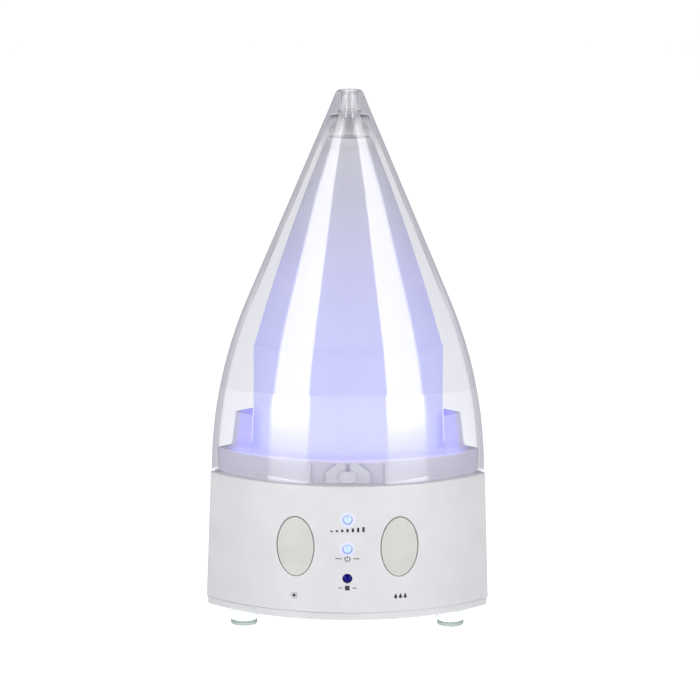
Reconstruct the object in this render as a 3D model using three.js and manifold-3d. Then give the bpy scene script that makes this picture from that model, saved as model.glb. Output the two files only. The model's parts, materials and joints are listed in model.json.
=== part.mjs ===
// A cool mist humidifier: a clear drop-shaped cover over a frosted, lit mist dome, on a white base.
// Millimetres, +Z up, front towards -Y, origin on the floor under the middle of the base.
// Every plan section is a lens: two equal arcs, bulging to the front and back, that meet in a
// narrow corner at the left and right.
import * as THREE from "three";
import { mergeVertices } from "three/addons/utils/BufferGeometryUtils.js";
import Module from "manifold-3d";

const wasm = await Module();
wasm.setup();

// ---------------------------------------------------------------- driving dimensions
// Overall
const overallHeight = 297.2; // floor to the tip of the cover
const baseWidth = 156.6; // corner to corner at the foot of the base
const planRatio = 0.45; // depth over width of the base and cover
const gap = 0.3; // between pieces that touch

// Feet and base
const padHeight = 2.2;
const padRadius = 7.4;
const padChamfer = 0.4;
const footHeight = 8.7; // floor to the underside of the base plate
const footRadius = 7.2;
const footPegRadius = 2;
const footFromCorner = 21;
const footFromMiddle = 7.8; // front and back of the middle plane
const plateThickness = 2.4;
const plateRimHeight = 4;
const plateInset = 0.5;
const plateChamfer = 0.8;
const bottomSeam = 0.6; // groove between the base plate and the base shell
const baseHeight = 71.2; // base shell alone
const baseTaper = 2.4; // the base is this much narrower at each corner at its top
const baseWall = 2.4;
const baseCorner = 1.6; // radius of the upright corners
const baseChamfer = 0.5;
const deckThickness = 2.2;
const deckClearance = 4.2; // all round the basin, filled by the tray seal

// Buttons and lamps on the front
const buttonHalfWidth = 10;
const buttonInsideBoard = 3.35; // from the board's upper and lower edges to the button's
const buttonAboveMiddle = 0.35; // of the board
const buttonSpacing = 57; // centre to centre
const buttonClearance = 0.35;
const buttonThickness = 3.2;
const buttonProud = 0.4;
const buttonFlange = 1.3; // how far the retaining flange stands out behind the wall
const buttonFlangeThickness = 1.2;
const buttonStemRadius = 2.2;
const buttonTravel = 0.8;
const lampRadius = 2.5;
const lampBelowBoardTop = 3.7; // to the middle of the highest lamp
const lampAboveBoardFoot = 3; // to the middle of the lowest
const lampLength = 7;
const lampFlangeRadius = 2.9;
const lampHoleClearance = 0.3;

// Water tray
const trayInsideCover = 0.65; // all round
const trayFlangeHeight = 14; // base deck to the top of the flange
const trayWall = 2;
const earHeight = 20.2; // of the two ears that stand on the flange, one at each end of the dome
const earInsideTray = 7.6; // from the tray's corner to the ear's outer corner at the flange
const earLean = 2.3; // inwards, over the height of an ear
const earClearance = 0.6; // to the dome, all the way up
const earRootRadius = 0.5; // where an ear meets the flange
const earShelfDrop = 5.5; // ear's top to the shelf inside it
const earShelfDepth = 4.9;
const earShelfThickness = 1.2;
const basinInsideDome = 3.1; // from the dome's corner to the basin's
const basinSlimness = 0.04;
const basinDepth = 25.5;
const basinDraft = 0.8;
const portFromCentre = 30; // to the left, where the fan's air enters
const portRadius = 6.6;
const portWall = 1.6;
const portAboveFlange = 7.5;
const floatX = 30;
const floatPostRadius = 2.2;
const floatRadius = 7;
const floatHeight = 9;
const floatCapRadius = 4.2;
const floatBoreClearance = 0.5;
const floatTravel = 6;
const floatSensorSize = { width: 6, depth: 4, height: 2 };

// Catch in the front of the tray's skirt
const catchRecessHalfWidth = 20.2;
const catchRecessDepth = 3.8;
const catchHalfWidth = 12;
const catchTopHalfWidth = 5.4;
const catchThickness = 1.8;
const catchPlugHalfWidth = 4.7;
const catchSlotHalfWidth = 1.35;
const catchSlotLength = 4.2;
const catchShoulderShare = 0.55; // of the height, below which the plate has its full width
const catchPlugHeight = 6;
const catchPlugBevel = 1.6;
const catchPlugThickness = 1.1;
const catchBackingThickness = 1.8;
const catchBackingInset = 0.4; // of the recess's cheeks, from the face of the skirt
const catchPlugLift = 1; // above the foot of the tray's skirt

// Transducer
const transducerRadius = 10;
const transducerThickness = 1.2;
const transducerWindowRadius = 8;
const sealLipThickness = 1;
const sealWall = 2; // outside the disc
const clampOverhang = 4; // outside the disc
const clampThickness = 1.3;

// Mist dome
const domeInsideCover = 21.3; // from the cover's inner corner to the dome's
const domeFootFlare = 0.9;
const domeFlareHeight = 20;
const domeShoulderStep = 0.5; // inwards, where the slope starts
const domeShoulderHeight = 0.6; // of that step
const domeCorner = 1.2;
const domeSlimness = 0.03;
const domeTopRatio = 0.6;
const domeWall = 1.8;
const domeShoulderAboveFlange = 57.7;
const domeTopBelowTip = 25.5;
const domeTopShare = 0.68; // half-width of its top over the cover's at that height
const domeBulge = 2; // of the sloping side, outside the straight line
const domeMouthMargin = 1.8; // of the roof round the mouth
const domeRoundFrom = 0.85; // share of the slope above which the plan turns rounder

// Nozzle between the dome's mouth and the cover's tip
const nozzleWall = 1.2;
const nozzlePlugClearance = 0.4;
const nozzlePlugDepth = 6;
const nozzleCollar = 0.9; // of its shoulder, outside the dome's mouth
const nozzleDraft = 0.4; // of the collar, inwards, from its foot to its top
const nozzleCollarHeight = 5;
const nozzleNeckBelowCeiling = 1.1;
const nozzleBelowOutlet = 1; // of its top, under the end of its socket

// Drip shield inside the dome
const baffleBelowTop = 34.7;
const baffleThickness = 2;
const baffleConeHeight = 16;
const baffleTipRadius = 1.6;
const baffleTipHeight = 1;
const baffleArmHeight = 4;
const baffleArmHalfThickness = 0.8;
const baffleClearance = 0.8;

// Cover
const coverInsideBase = 2.9; // from the base's corner at the floor to the cover's
const coverWall = 2;
const coverCorner = 1.2;
const coverArcRadius = 250;
const coverLip = 1.6; // how far the lip stands out from the cover's corner
const coverLipHeight = 1.3;
const coverLipCorner = 0.4;
const coverLipInset = 0.35; // at the front and back, from the base's proportions
const tipRadius = 7;
const tipChamfer = 0.7;
const tipBlendHeight = 56; // over which the lens plan turns round
const tipDepthShare = 0.98; // depth over width at the tip
const tipSolidHeight = 13.8;
const outletRadius = 4.6;
const spigotRadius = 5.7;
const spigotClearance = 0.4;
const spigotDepth = 2.7;

// Bought-in pieces
const fanSize = 40;
const fanThickness = 10;
const fanFromCentre = 26; // to the left
const fanRingWall = 1.2;
const fanHubShare = 0.2; // radius of the frame's hub over the fan's size
const fanSpokeHalfWidth = 1;
const fanSpokeThickness = 1.6;
const fanHubThickness = 1.8;
const fanMountShare = 0.4; // fixing holes from the fan's middle, over its size
const fanMountRadius = 1.7;
const fanShaftRadius = 0.9;
const fanBearingRadius = 1.2;
const rotorHubShare = 0.22;
const rotorLift = 2.2; // above the underside of the frame
const rotorTopClearance = 0.4;
const rotorTipClearance = 0.8; // to the frame's ring
const bladeCount = 7;
const bladeThickness = 0.9;
const bladeTilt = 0.6; // radians
const bladeMargin = 1; // how much lower than the hub a blade is, and how deep it is rooted
const ductWall = 1.6;
const ductHoodHeight = 5;
const ductClearance = 0.2; // of the stub, to the port above it
const boardThickness = 1.6;
const switchSize = 6;
const switchHeight = 3.5;
const switchTipHeight = 0.7;
const switchTipRadius = 1.7;
const screwRadius = 1.3;
const screwHeadRadius = 2.8;
const screwHeadHeight = 1.9;
const screwPostRadius = 3.5;
const screwPostHeight = 11.7;
const screwPostRoof = 1.5; // over the blind end of its hole
const screwTipClearance = 1.5; // below that end
const screwFromSide = 12.3;
const screwFromFront = 7.7;
const ribHalfThickness = 0.8;
const boardPostRadius = 3;
const boardScrewX = 13;
const boardScrewFromEdges = { low: 4.5, high: 9.4 };
const boardScrewLength = 6;
const boardHoleDepth = 8;
const boardBehindWall = 9.9;
const boardAboveDuct = 0.8;
const boardBeside = 10.5; // middle of a button to the board's side
const boardUnderBasin = 1.6; // from the basin's underside to the board's upper edge
const lampLegSpacing = 2.54;
const lampLegThickness = 0.5;
const lampFlangeThickness = 1;
const supportRadius = 2.5; // of the posts under the fan and the driver board
const screwPadMargin = 1; // of the pads round the base screws, outside the posts above them
const driverLeft = 2;
const driverSize = { width: 46, front: 13, rear: 15 };
const driverLift = 2.3; // above the foot of the base shell
const driverPostInset = 4;
const sinkPlace = { left: 12, right: 28, halfDepth: 9 };
const sinkBaseThickness = 3;
const sinkFinHeight = 17;
const sinkFinThickness = 1.4;
const sinkFinCount = 4;
const inductorPlace = { x: 38, y: -5, outer: 5.5, inner: 2.2, height: 8 };
const capacitorPlace = { x: 38, y: 8, radius: 4, height: 12 };
const inletX = 18;
const inletAboveFoot = 10.7; // of the base shell
const inletRadius = 4.4;
const inletHoleClearance = 0.4;
const inletBody = { halfWidth: 4.5, halfHeight: 5.5, depth: 12 };
const inletSeat = 0.6; // between the inlet's body and the wall it stands behind
const inletSocketRadius = 3.1;
const inletSocketDepth = 9;
const inletPinRadius = 1.05;
const inletPinRecess = 0.8;
const moodBoard = { halfLength: 38, front: 15, rear: 22, belowBasin: 5 };
const moodLampX = [-30, -11, 11, 30];
const moodLampProfile = [[2.5, 0], [2.5, 1], [2.1, 2], [1.2, 2.6], [0, 2.8]]; // radius and height

// ---------------------------------------------------------------- derived levels and places
const plateTop = footHeight + plateRimHeight;
const baseBottom = plateTop + bottomSeam;
const baseTop = baseBottom + baseHeight;
const plateFloor = footHeight + plateThickness;
const trayBottom = baseTop + gap;
const flangeTop = baseTop + trayFlangeHeight;
const earTop = flangeTop + earHeight;
const basinFloor = flangeTop - basinDepth;
const basinUnderside = basinFloor - trayWall;
const coverBottom = baseTop + gap;
const coverCeiling = overallHeight - tipSolidHeight;
const domeBottom = flangeTop + gap;
const domeShoulder = flangeTop + domeShoulderAboveFlange;
const domeTop = overallHeight - domeTopBelowTip;
const coverHalfWidth = baseWidth / 2 - coverInsideBase;
const trayLens = inset(lens(coverHalfWidth, planRatio), coverWall + trayInsideCover);
const earReach = trayLens.a - earInsideTray;
const domeHalfWidth = coverHalfWidth - coverWall - domeInsideCover;
const basinHalfWidth = domeHalfWidth - basinInsideDome;
const earRatio = trayLens.s / trayLens.a;
const domeRatio = planRatio - domeSlimness;
const basinRatio = planRatio - basinSlimness;
const portX = -portFromCentre;
const fanX = -fanFromCentre;
const fanZ = baseBottom + gap;
const ductBottom = fanZ + fanThickness + gap;
const hoodTop = ductBottom + ductHoodHeight;
// The control board fills the height between the duct and the basin, and the buttons and lamps
// are spread over it.
const boardTop = basinUnderside - boardUnderBasin;
const boardFoot = hoodTop + boardAboveDuct;
const buttonX = buttonSpacing / 2;
const buttonZ = (boardTop + boardFoot) / 2 + buttonAboveMiddle;
const buttonHalfHeight = (boardTop - boardFoot) / 2 - buttonInsideBoard;
const lampZ = levels(boardTop - lampBelowBoardTop, boardFoot + lampAboveBoardFoot, 2);
const footX = baseWidth / 2 - footFromCorner;
// The side of the cover is an arc that leaves the rim upright, then the straight line from the tip
// that touches that arc.
const arcCentreX = coverHalfWidth - coverArcRadius;
const toTip = { x: tipRadius - arcCentreX, z: overallHeight - coverBottom };
const tipDistance = Math.hypot(toTip.x, toTip.z);
const touchAngle = Math.atan2(toTip.z, toTip.x) - Math.acos(coverArcRadius / tipDistance);
const touch = {
  x: arcCentreX + coverArcRadius * Math.cos(touchAngle),
  z: coverBottom + coverArcRadius * Math.sin(touchAngle),
};
const domeTopHalfWidth = coverHalfWidthAt(domeTop) * domeTopShare;
const innerCorner = 0.6; // radius of every upright corner inside
const overrun = 1; // how far a cutter runs past the face it opens, or a root into its wall

// ---------------------------------------------------------------- lens sections
const facets = { wide: 32, large: 28, medium: 20, small: 16, fine: 12, tiny: 10 }; // round a circle
const arcSteps = 12;
const cornerSteps = 2;
const ringCount = 2 * (arcSteps + cornerSteps);

function lens(halfWidth, ratio) {
  return { a: halfWidth, s: halfWidth * ratio };
}

function arcRadius({ a, s }) {
  return (a * a + s * s) / (2 * s);
}

// The lens whose arcs lie this far inside another's, measured square to the wall.
function inset(section, by) {
  const radius = arcRadius(section);
  const offCentre = radius - section.s;
  return { a: Math.sqrt((radius - by) ** 2 - offCentre ** 2), s: section.s - by };
}

// How far the lens reaches to the front or back at x.
function halfDepth(section, x) {
  const radius = arcRadius(section);
  return Math.sqrt(radius * radius - x * x) - (radius - section.s);
}

// Points round a lens with rounded corners, anticlockwise from above, from the left end of the front.
function lensRing(section, corner, z) {
  const core = { a: section.a - corner, s: section.s - corner };
  const radius = arcRadius(core);
  const offCentre = radius - core.s;
  const reach = Math.asin(core.a / radius);
  const turn = Math.PI / 2 - reach;
  const points = [];
  for (const side of [1, -1]) {
    for (let step = 0; step <= arcSteps; step++) {
      const angle = side * reach * ((2 * step) / arcSteps - 1);
      const y = side * (offCentre - (radius + corner) * Math.cos(angle));
      points.push(new THREE.Vector3((radius + corner) * Math.sin(angle), y, z));
    }
    for (let step = 1; step < cornerSteps; step++) {
      const angle = turn * ((2 * step) / cornerSteps - 1);
      const x = side * (core.a + corner * Math.cos(angle));
      points.push(new THREE.Vector3(x, side * corner * Math.sin(angle), z));
    }
  }
  return points;
}

// A circle with as many points as a lens ring, in step with it.
function roundRing(radius, z) {
  return Array.from({ length: ringCount }, (_, index) => {
    const angle = Math.PI + ((index + 1) * 2 * Math.PI) / ringCount;
    return new THREE.Vector3(radius * Math.cos(angle), radius * Math.sin(angle), z);
  });
}

// Evenly spaced levels, both ends included.
function levels(from, to, count) {
  return Array.from({ length: count + 1 }, (_, step) => from + ((to - from) * step) / count);
}

// ---------------------------------------------------------------- solids
// Skins a row of rings. Open rows get a flat cap at each end; closed rows join last to first.
function loft(rings, closed) {
  const count = rings[0].length;
  const vertices = rings.flat();
  const faces = [];
  const spans = closed ? rings.length : rings.length - 1;
  for (let row = 0; row < spans; row++) {
    const above = (row + 1) % rings.length;
    for (let index = 0; index < count; index++) {
      const next = (index + 1) % count;
      const [a, b] = [row * count + index, row * count + next];
      const [c, d] = [above * count + next, above * count + index];
      faces.push(a, b, c, a, c, d);
    }
  }
  if (!closed) {
    const first = vertices.push(new THREE.Vector3(0, 0, rings[0][0].z)) - 1;
    const last = vertices.push(new THREE.Vector3(0, 0, rings.at(-1)[0].z)) - 1;
    const top = (rings.length - 1) * count;
    for (let index = 0; index < count; index++) {
      const next = (index + 1) % count;
      faces.push(first, next, index, last, top + index, top + next);
    }
  }
  const shape = new THREE.BufferGeometry().setFromPoints(vertices);
  shape.setIndex(faces);
  return solid(shape);
}

function solid(shape) {
  const bare = shape.clone();
  bare.deleteAttribute("normal");
  bare.deleteAttribute("uv");
  const merged = mergeVertices(bare, 1e-4);
  const vertProperties = new Float32Array(merged.attributes.position.array);
  const triVerts = new Uint32Array(merged.index.array);
  return new wasm.Manifold(new wasm.Mesh({ numProp: 3, vertProperties, triVerts }));
}

function joined(first, ...others) {
  return others.reduce((whole, other) => whole.add(other), first);
}

function cut(whole, ...tools) {
  return tools.reduce((rest, tool) => rest.subtract(tool), whole);
}

// A box from its low corner to its high corner.
function block([x0, y0, z0], [x1, y1, z1]) {
  const shape = new THREE.BoxGeometry(x1 - x0, y1 - y0, z1 - z0);
  return solid(shape.translate((x0 + x1) / 2, (y0 + y1) / 2, (z0 + z1) / 2));
}

// A turned shape about an upright axis at (x, y). The profile is [radius, z] pairs, anticlockwise
// with radius to the right and z up.
function turned(profile, sides, x = 0, y = 0) {
  const points = profile.map(([radius, z]) => new THREE.Vector2(radius, z));
  return solid(new THREE.LatheGeometry(points, sides).rotateX(Math.PI / 2).translate(x, y, 0));
}

function upright(radius, z0, z1, sides, x = 0, y = 0) {
  return turned([[0, z0], [radius, z0], [radius, z1], [0, z1]], sides, x, y);
}

function uprightTube(outer, inner, z0, z1, sides, x = 0, y = 0) {
  const profile = [[inner, z0], [outer, z0], [outer, z1], [inner, z1], [inner, z0]];
  return turned(profile, sides, x, y);
}

// A turned shape about an axis that runs back from (x, z). The profile is [radius, y] pairs.
function turnedBack(profile, sides, x, z) {
  const points = profile.map(([radius, y]) => new THREE.Vector2(radius, y));
  return solid(new THREE.LatheGeometry(points, sides).translate(x, 0, z));
}

function back(radius, y0, y1, sides, x, z) {
  return turnedBack([[0, y0], [radius, y0], [radius, y1], [0, y1]], sides, x, z);
}

// An outline of [x, z] pairs, anticlockwise from the front, carried from y0 back to y1.
function panel(outline, y0, y1) {
  const shape = new THREE.Shape(outline.map(([x, z]) => new THREE.Vector2(x, z)));
  const made = new THREE.ExtrudeGeometry(shape, { depth: y1 - y0, bevelEnabled: false });
  return solid(made.rotateX(Math.PI / 2).translate(0, y1, 0));
}

function ellipse(halfWidth, halfHeight, x, z, sides) {
  return Array.from({ length: sides }, (_, index) => {
    const angle = (index * 2 * Math.PI) / sides;
    return [x + halfWidth * Math.cos(angle), z + halfHeight * Math.sin(angle)];
  });
}

// ---------------------------------------------------------------- base and feet
function baseLens(z) {
  const rise = (z - baseBottom) / baseHeight;
  return lens(baseWidth / 2 - baseTaper * rise, planRatio);
}

// The body of the base from z0 to z1, drawn in by a margin all round.
function baseBody(margin, z0, z1) {
  const rings = [z0, z1].map((z) => lensRing(inset(baseLens(z), margin), innerCorner, z));
  return loft(rings, false);
}

function basinLens(z) {
  const drop = (flangeTop - z) / basinDepth;
  return lens(basinHalfWidth - basinDraft * drop, basinRatio);
}

const deckHole = inset(basinLens(baseTop), -trayWall - deckClearance);
const sideScrewX = baseWidth / 2 - screwFromSide;
const frontScrewY = (baseWidth / 2) * planRatio - screwFromFront;
const screwPlaces = [
  ["left", -sideScrewX, 0],
  ["right", sideScrewX, 0],
  ["front", 0, -frontScrewY],
  ["rear", 0, frontScrewY],
];
const boardScrewRows = [boardFoot + boardScrewFromEdges.low, boardTop - boardScrewFromEdges.high];
const boardPlaces = [-boardScrewX, boardScrewX].flatMap((x) => boardScrewRows.map((z) => [x, z]));

// The control board stands behind the buttons, clear of their flanges and of the switches' travel.
const wallAtButton = halfDepth(inset(baseLens(buttonZ), baseWall), buttonX);
const boardFront = -wallAtButton + boardBehindWall;
const boardBack = boardFront + boardThickness;
const switchFront = boardFront - gap - switchHeight;
const switchTip = switchFront - switchTipHeight;
const stemEnd = switchTip - buttonTravel - gap;
const inletZ = baseBottom + inletAboveFoot;

// A post for a base screw, with a rib to the wall that it stands beside.
function screwPost(x, y) {
  const post = upright(screwPostRadius, baseBottom, baseBottom + screwPostHeight, facets.small, x, y);
  const wall = inset(baseLens(baseBottom), baseWall);
  const end = [Math.sign(x) * (wall.a + overrun), Math.sign(y) * (wall.s + overrun)];
  const xs = x ? [Math.min(x, end[0]), Math.max(x, end[0])] : [-ribHalfThickness, ribHalfThickness];
  const ys = y ? [Math.min(y, end[1]), Math.max(y, end[1])] : [-ribHalfThickness, ribHalfThickness];
  const rib = block([xs[0], ys[0], baseBottom], [xs[1], ys[1], baseBottom + screwPostHeight]);
  return joined(post, rib);
}

function baseShell() {
  const chamferZ = baseTop - baseChamfer;
  const deckUnder = baseTop - deckThickness;
  const rings = [
    lensRing(baseLens(baseBottom), baseCorner, baseBottom),
    lensRing(baseLens(chamferZ), baseCorner, chamferZ),
    lensRing(inset(baseLens(baseTop), baseChamfer), baseCorner, baseTop),
    lensRing(deckHole, innerCorner, baseTop),
    lensRing(deckHole, innerCorner, deckUnder),
    lensRing(inset(baseLens(deckUnder), baseWall), innerCorner, deckUnder),
    lensRing(inset(baseLens(baseBottom), baseWall), innerCorner, baseBottom),
  ];
  let shell = loft(rings, true);
  for (const [, x, y] of screwPlaces) {
    const top = baseBottom + screwPostHeight - screwPostRoof;
    const hole = upright(screwRadius + gap, baseBottom - overrun, top, facets.fine, x, y);
    shell = cut(joined(shell, screwPost(x, y)), hole);
  }
  for (const [x, z] of boardPlaces) {
    const wall = -halfDepth(inset(baseLens(z), baseWall / 2), x);
    const post = back(boardPostRadius, wall, boardFront - gap, facets.fine, x, z);
    const hole = back(screwRadius + gap, boardFront - boardHoleDepth, boardFront, facets.tiny, x, z);
    shell = cut(joined(shell, post), hole);
  }
  const frontFace = -baseLens(baseBottom).s - overrun;
  for (const x of [-buttonX, buttonX]) {
    const [width, height] = [buttonHalfWidth + buttonClearance, buttonHalfHeight + buttonClearance];
    shell = cut(shell, panel(ellipse(width, height, x, buttonZ, facets.wide), frontFace, boardFront));
  }
  for (const z of lampZ) {
    const inside = -baseLens(z).s + baseWall + overrun;
    shell = cut(shell, back(lampRadius + lampHoleClearance, frontFace, inside, facets.small, 0, z));
  }
  return cut(shell, back(inletRadius + inletHoleClearance, 0, -frontFace, facets.medium, inletX, inletZ));
}

const plateLens = inset(baseLens(baseBottom), plateInset);
const fanMount = fanSize * fanMountShare;
const fanCorners = [-1, 1].flatMap((i) => [-1, 1].map((j) => [fanX + i * fanMount, j * fanMount]));
const slotCount = 7;
const slotPitch = 5;
const slotHalfWidth = 1.3;
const slotHalfLength = 14;
const driverBoard = {
  x0: driverLeft,
  x1: driverLeft + driverSize.width,
  y0: -driverSize.front,
  y1: driverSize.rear,
  z: baseBottom + driverLift,
};
const driverPosts = [driverBoard.x0 + driverPostInset, driverBoard.x1 - driverPostInset].flatMap((x) =>
  [driverBoard.y0 + driverPostInset, driverBoard.y1 - driverPostInset].map((y) => [x, y]),
);
const feet = [
  ["front_left", -footX, -footFromMiddle],
  ["front_right", footX, -footFromMiddle],
  ["rear_left", -footX, footFromMiddle],
  ["rear_right", footX, footFromMiddle],
];

function basePlate() {
  const rings = [
    lensRing(inset(plateLens, plateChamfer), baseCorner, footHeight),
    lensRing(plateLens, baseCorner, footHeight + plateChamfer),
    lensRing(plateLens, baseCorner, plateTop),
    lensRing(inset(plateLens, baseWall), innerCorner, plateTop),
    lensRing(inset(plateLens, baseWall), innerCorner, plateFloor),
  ];
  let plate = loft(rings, false);
  for (const [, x, y] of screwPlaces) {
    const padRoot = footHeight + overrun;
    const pad = upright(screwPostRadius + screwPadMargin, padRoot, baseBottom - gap, facets.small, x, y);
    const seat = footHeight + screwHeadHeight + gap;
    const head = upright(screwHeadRadius + gap, footHeight - overrun, seat, facets.small, x, y);
    const hole = upright(screwRadius + gap, footHeight, baseBottom, facets.fine, x, y);
    plate = cut(joined(plate, pad), head, hole);
  }
  const supports = [
    ...fanCorners.map(([x, y]) => [x, y, fanZ - gap]),
    ...driverPosts.map(([x, y]) => [x, y, driverBoard.z - gap]),
  ];
  for (const [x, y, top] of supports) {
    plate = joined(plate, upright(supportRadius, footHeight + overrun, top, facets.tiny, x, y));
  }
  for (const [, x, y] of feet) {
    const [low, high] = [footHeight - overrun, plateFloor + overrun];
    plate = cut(plate, upright(footPegRadius + gap, low, high, facets.fine, x, y));
  }
  for (let slot = 0; slot < slotCount; slot++) {
    const x = fanX + (slot - (slotCount - 1) / 2) * slotPitch;
    const low = [x - slotHalfWidth, -slotHalfLength, footHeight - overrun];
    plate = cut(plate, block(low, [x + slotHalfWidth, slotHalfLength, plateFloor + overrun]));
  }
  return plate;
}

function footPad(x, y) {
  const profile = [
    [0, 0],
    [padRadius - padChamfer, 0],
    [padRadius, padChamfer],
    [padRadius, padHeight],
    [0, padHeight],
  ];
  return turned(profile, facets.medium, x, y);
}

function foot(x, y) {
  const top = footHeight - gap;
  const profile = [
    [0, padHeight + gap],
    [footRadius, padHeight + gap],
    [footRadius, top],
    [footPegRadius, top],
    [footPegRadius, plateFloor - gap],
    [0, plateFloor - gap],
  ];
  return turned(profile, facets.medium, x, y);
}

function baseScrew(x, y) {
  const head = footHeight + gap;
  const neck = footHeight + screwHeadHeight;
  const tip = baseBottom + screwPostHeight - screwPostRoof - screwTipClearance;
  const profile = [
    [0, head],
    [screwHeadRadius, head],
    [screwHeadRadius, neck],
    [screwRadius, neck],
    [screwRadius, tip],
    [0, tip],
  ];
  return turned(profile, facets.fine, x, y);
}

// ---------------------------------------------------------------- front controls
function button(x) {
  const reach = buttonHalfHeight + buttonFlange + overrun;
  const [z0, z1] = [buttonZ - reach, buttonZ + reach];
  const front = -baseLens(baseBottom).s - buttonProud - overrun;
  const flangeAt = baseWall + buttonClearance;
  const flangeBack = flangeAt + buttonFlangeThickness;
  const slab = (outer, inner) =>
    cut(baseBody(outer, z0, z1), baseBody(inner, z0 - overrun, z1 + overrun));
  const capOutline = ellipse(buttonHalfWidth, buttonHalfHeight, x, buttonZ, facets.wide);
  const [width, height] = [buttonHalfWidth + buttonFlange, buttonHalfHeight + buttonFlange];
  const flangeOutline = ellipse(width, height, x, buttonZ, facets.large);
  const cap = panel(capOutline, front, 0).intersect(slab(-buttonProud, buttonThickness));
  const flange = panel(flangeOutline, front, 0).intersect(slab(flangeAt, flangeBack));
  const insideCap = inset(baseLens(buttonZ), buttonThickness - overrun);
  const stemStart = -halfDepth(insideCap, Math.abs(x));
  return joined(cap, flange, back(buttonStemRadius, stemStart, stemEnd, facets.fine, x, buttonZ));
}

function lamp(z) {
  const front = -baseLens(z).s;
  const shoulder = front + lampRadius / 2;
  const flange = front + lampLength;
  const dome = levels(0, Math.PI / 2, 3).map((angle) => [
    lampRadius * Math.sin(angle),
    shoulder - (lampRadius / 2) * Math.cos(angle),
  ]);
  dome[0][0] = 0;
  const flangeBack = flange + lampFlangeThickness;
  const rim = [[lampRadius, flange], [lampFlangeRadius, flange], [lampFlangeRadius, flangeBack]];
  const bulb = turnedBack([...dome, ...rim, [0, flangeBack]], facets.small, 0, z);
  const half = lampLegThickness / 2;
  const legs = [-lampLegSpacing / 2, lampLegSpacing / 2].map((x) =>
    block([x - half, flange, z - half], [x + half, boardFront - gap, z + half]),
  );
  return joined(bulb, ...legs);
}

function controlBoard() {
  const halfWidth = buttonX + boardBeside;
  const board = block([-halfWidth, boardFront, boardFoot], [halfWidth, boardBack, boardTop]);
  const [y0, y1] = [boardFront - overrun, boardBack + overrun];
  return cut(board, ...boardPlaces.map(([x, z]) => back(screwRadius + gap, y0, y1, facets.tiny, x, z)));
}

function boardScrew(x, z) {
  const head = boardBack + gap;
  const tip = boardFront - boardScrewLength;
  const profile = [
    [0, tip],
    [screwRadius, tip],
    [screwRadius, head],
    [screwHeadRadius, head],
    [screwHeadRadius, head + screwHeadHeight],
    [0, head + screwHeadHeight],
  ];
  return turnedBack(profile, facets.tiny, x, z);
}

function pushSwitch(x) {
  const half = switchSize / 2;
  const low = [x - half, switchFront, buttonZ - half];
  const body = block(low, [x + half, boardFront - gap, buttonZ + half]);
  return joined(body, back(switchTipRadius, switchTip, switchFront + overrun, facets.fine, x, buttonZ));
}

// ---------------------------------------------------------------- fan, driver and inlet
function fanFrame() {
  const half = fanSize / 2;
  const [low, top] = [fanZ - overrun, fanZ + fanThickness + overrun];
  const box = block([fanX - half, -half, fanZ], [fanX + half, half, fanZ + fanThickness]);
  const bore = upright(half - fanRingWall, low, top, facets.large, fanX, 0);
  const spoke = half - fanRingWall / 2;
  const [across, high] = [fanSpokeHalfWidth, fanZ + fanSpokeThickness];
  const spokes = [
    block([fanX - spoke, -across, fanZ], [fanX + spoke, across, high]),
    block([fanX - across, -spoke, fanZ], [fanX + across, spoke, high]),
  ];
  const hub = upright(fanSize * fanHubShare, fanZ, fanZ + fanHubThickness, facets.small, fanX, 0);
  const holes = fanCorners.map(([x, y]) => upright(fanMountRadius, low, top, facets.tiny, x, y));
  const bearing = upright(fanBearingRadius, low, top, facets.tiny, fanX, 0);
  return cut(joined(cut(box, bore), hub, ...spokes), ...holes, bearing);
}

function fanImpeller() {
  const low = fanZ + rotorLift;
  const top = fanZ + fanThickness - rotorTopClearance;
  const hub = fanSize * rotorHubShare;
  const bladeTip = fanSize / 2 - fanRingWall - rotorTipClearance;
  const length = bladeTip - hub + bladeMargin;
  const blades = levels(0, 2 * Math.PI, bladeCount)
    .slice(1)
    .map((angle) => {
      const blade = new THREE.BoxGeometry(length, bladeThickness, top - low - bladeMargin);
      blade.rotateX(bladeTilt).translate(bladeTip - length / 2, 0, (low + top) / 2);
      return solid(blade.rotateZ(angle).translate(fanX, 0, 0));
    });
  const shaft = upright(fanShaftRadius, fanZ + gap, low + overrun, facets.tiny, fanX, 0);
  return joined(upright(hub, low, top, facets.medium, fanX, 0), shaft, ...blades);
}

// A hood over the fan and a stub that leads up to the port in the tray.
function fanDuct() {
  const half = fanSize / 2;
  const inner = half - ductWall;
  const stub = portRadius - ductClearance;
  const hood = block([fanX - half, -half, ductBottom], [fanX + half, half, hoodTop]);
  const pipe = upright(stub, hoodTop - overrun, basinUnderside - gap, facets.medium, portX, 0);
  const insideLow = [fanX - inner, -inner, ductBottom - overrun];
  const inside = block(insideLow, [fanX + inner, inner, hoodTop - ductWall]);
  const bore = upright(stub - ductWall, ductBottom, basinUnderside, facets.medium, portX, 0);
  return cut(joined(hood, pipe), inside, bore);
}

function driverBoardPlate() {
  const { x0, x1, y0, y1, z } = driverBoard;
  return block([x0, y0, z], [x1, y1, z + boardThickness]);
}

const onDriver = driverBoard.z + boardThickness + gap;

function heatSink() {
  const { left, right, halfDepth: half } = sinkPlace;
  const top = onDriver + sinkFinHeight;
  const pitch = (right - left - sinkFinThickness) / (sinkFinCount - 1);
  const fins = Array.from({ length: sinkFinCount }, (_, fin) => {
    const x = left + fin * pitch;
    return block([x, -half, onDriver], [x + sinkFinThickness, half, top]);
  });
  return joined(block([left, -half, onDriver], [right, half, onDriver + sinkBaseThickness]), ...fins);
}

function inductor() {
  const { x, y, outer, inner, height } = inductorPlace;
  return uprightTube(outer, inner, onDriver, onDriver + height, facets.small, x, y);
}

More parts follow.
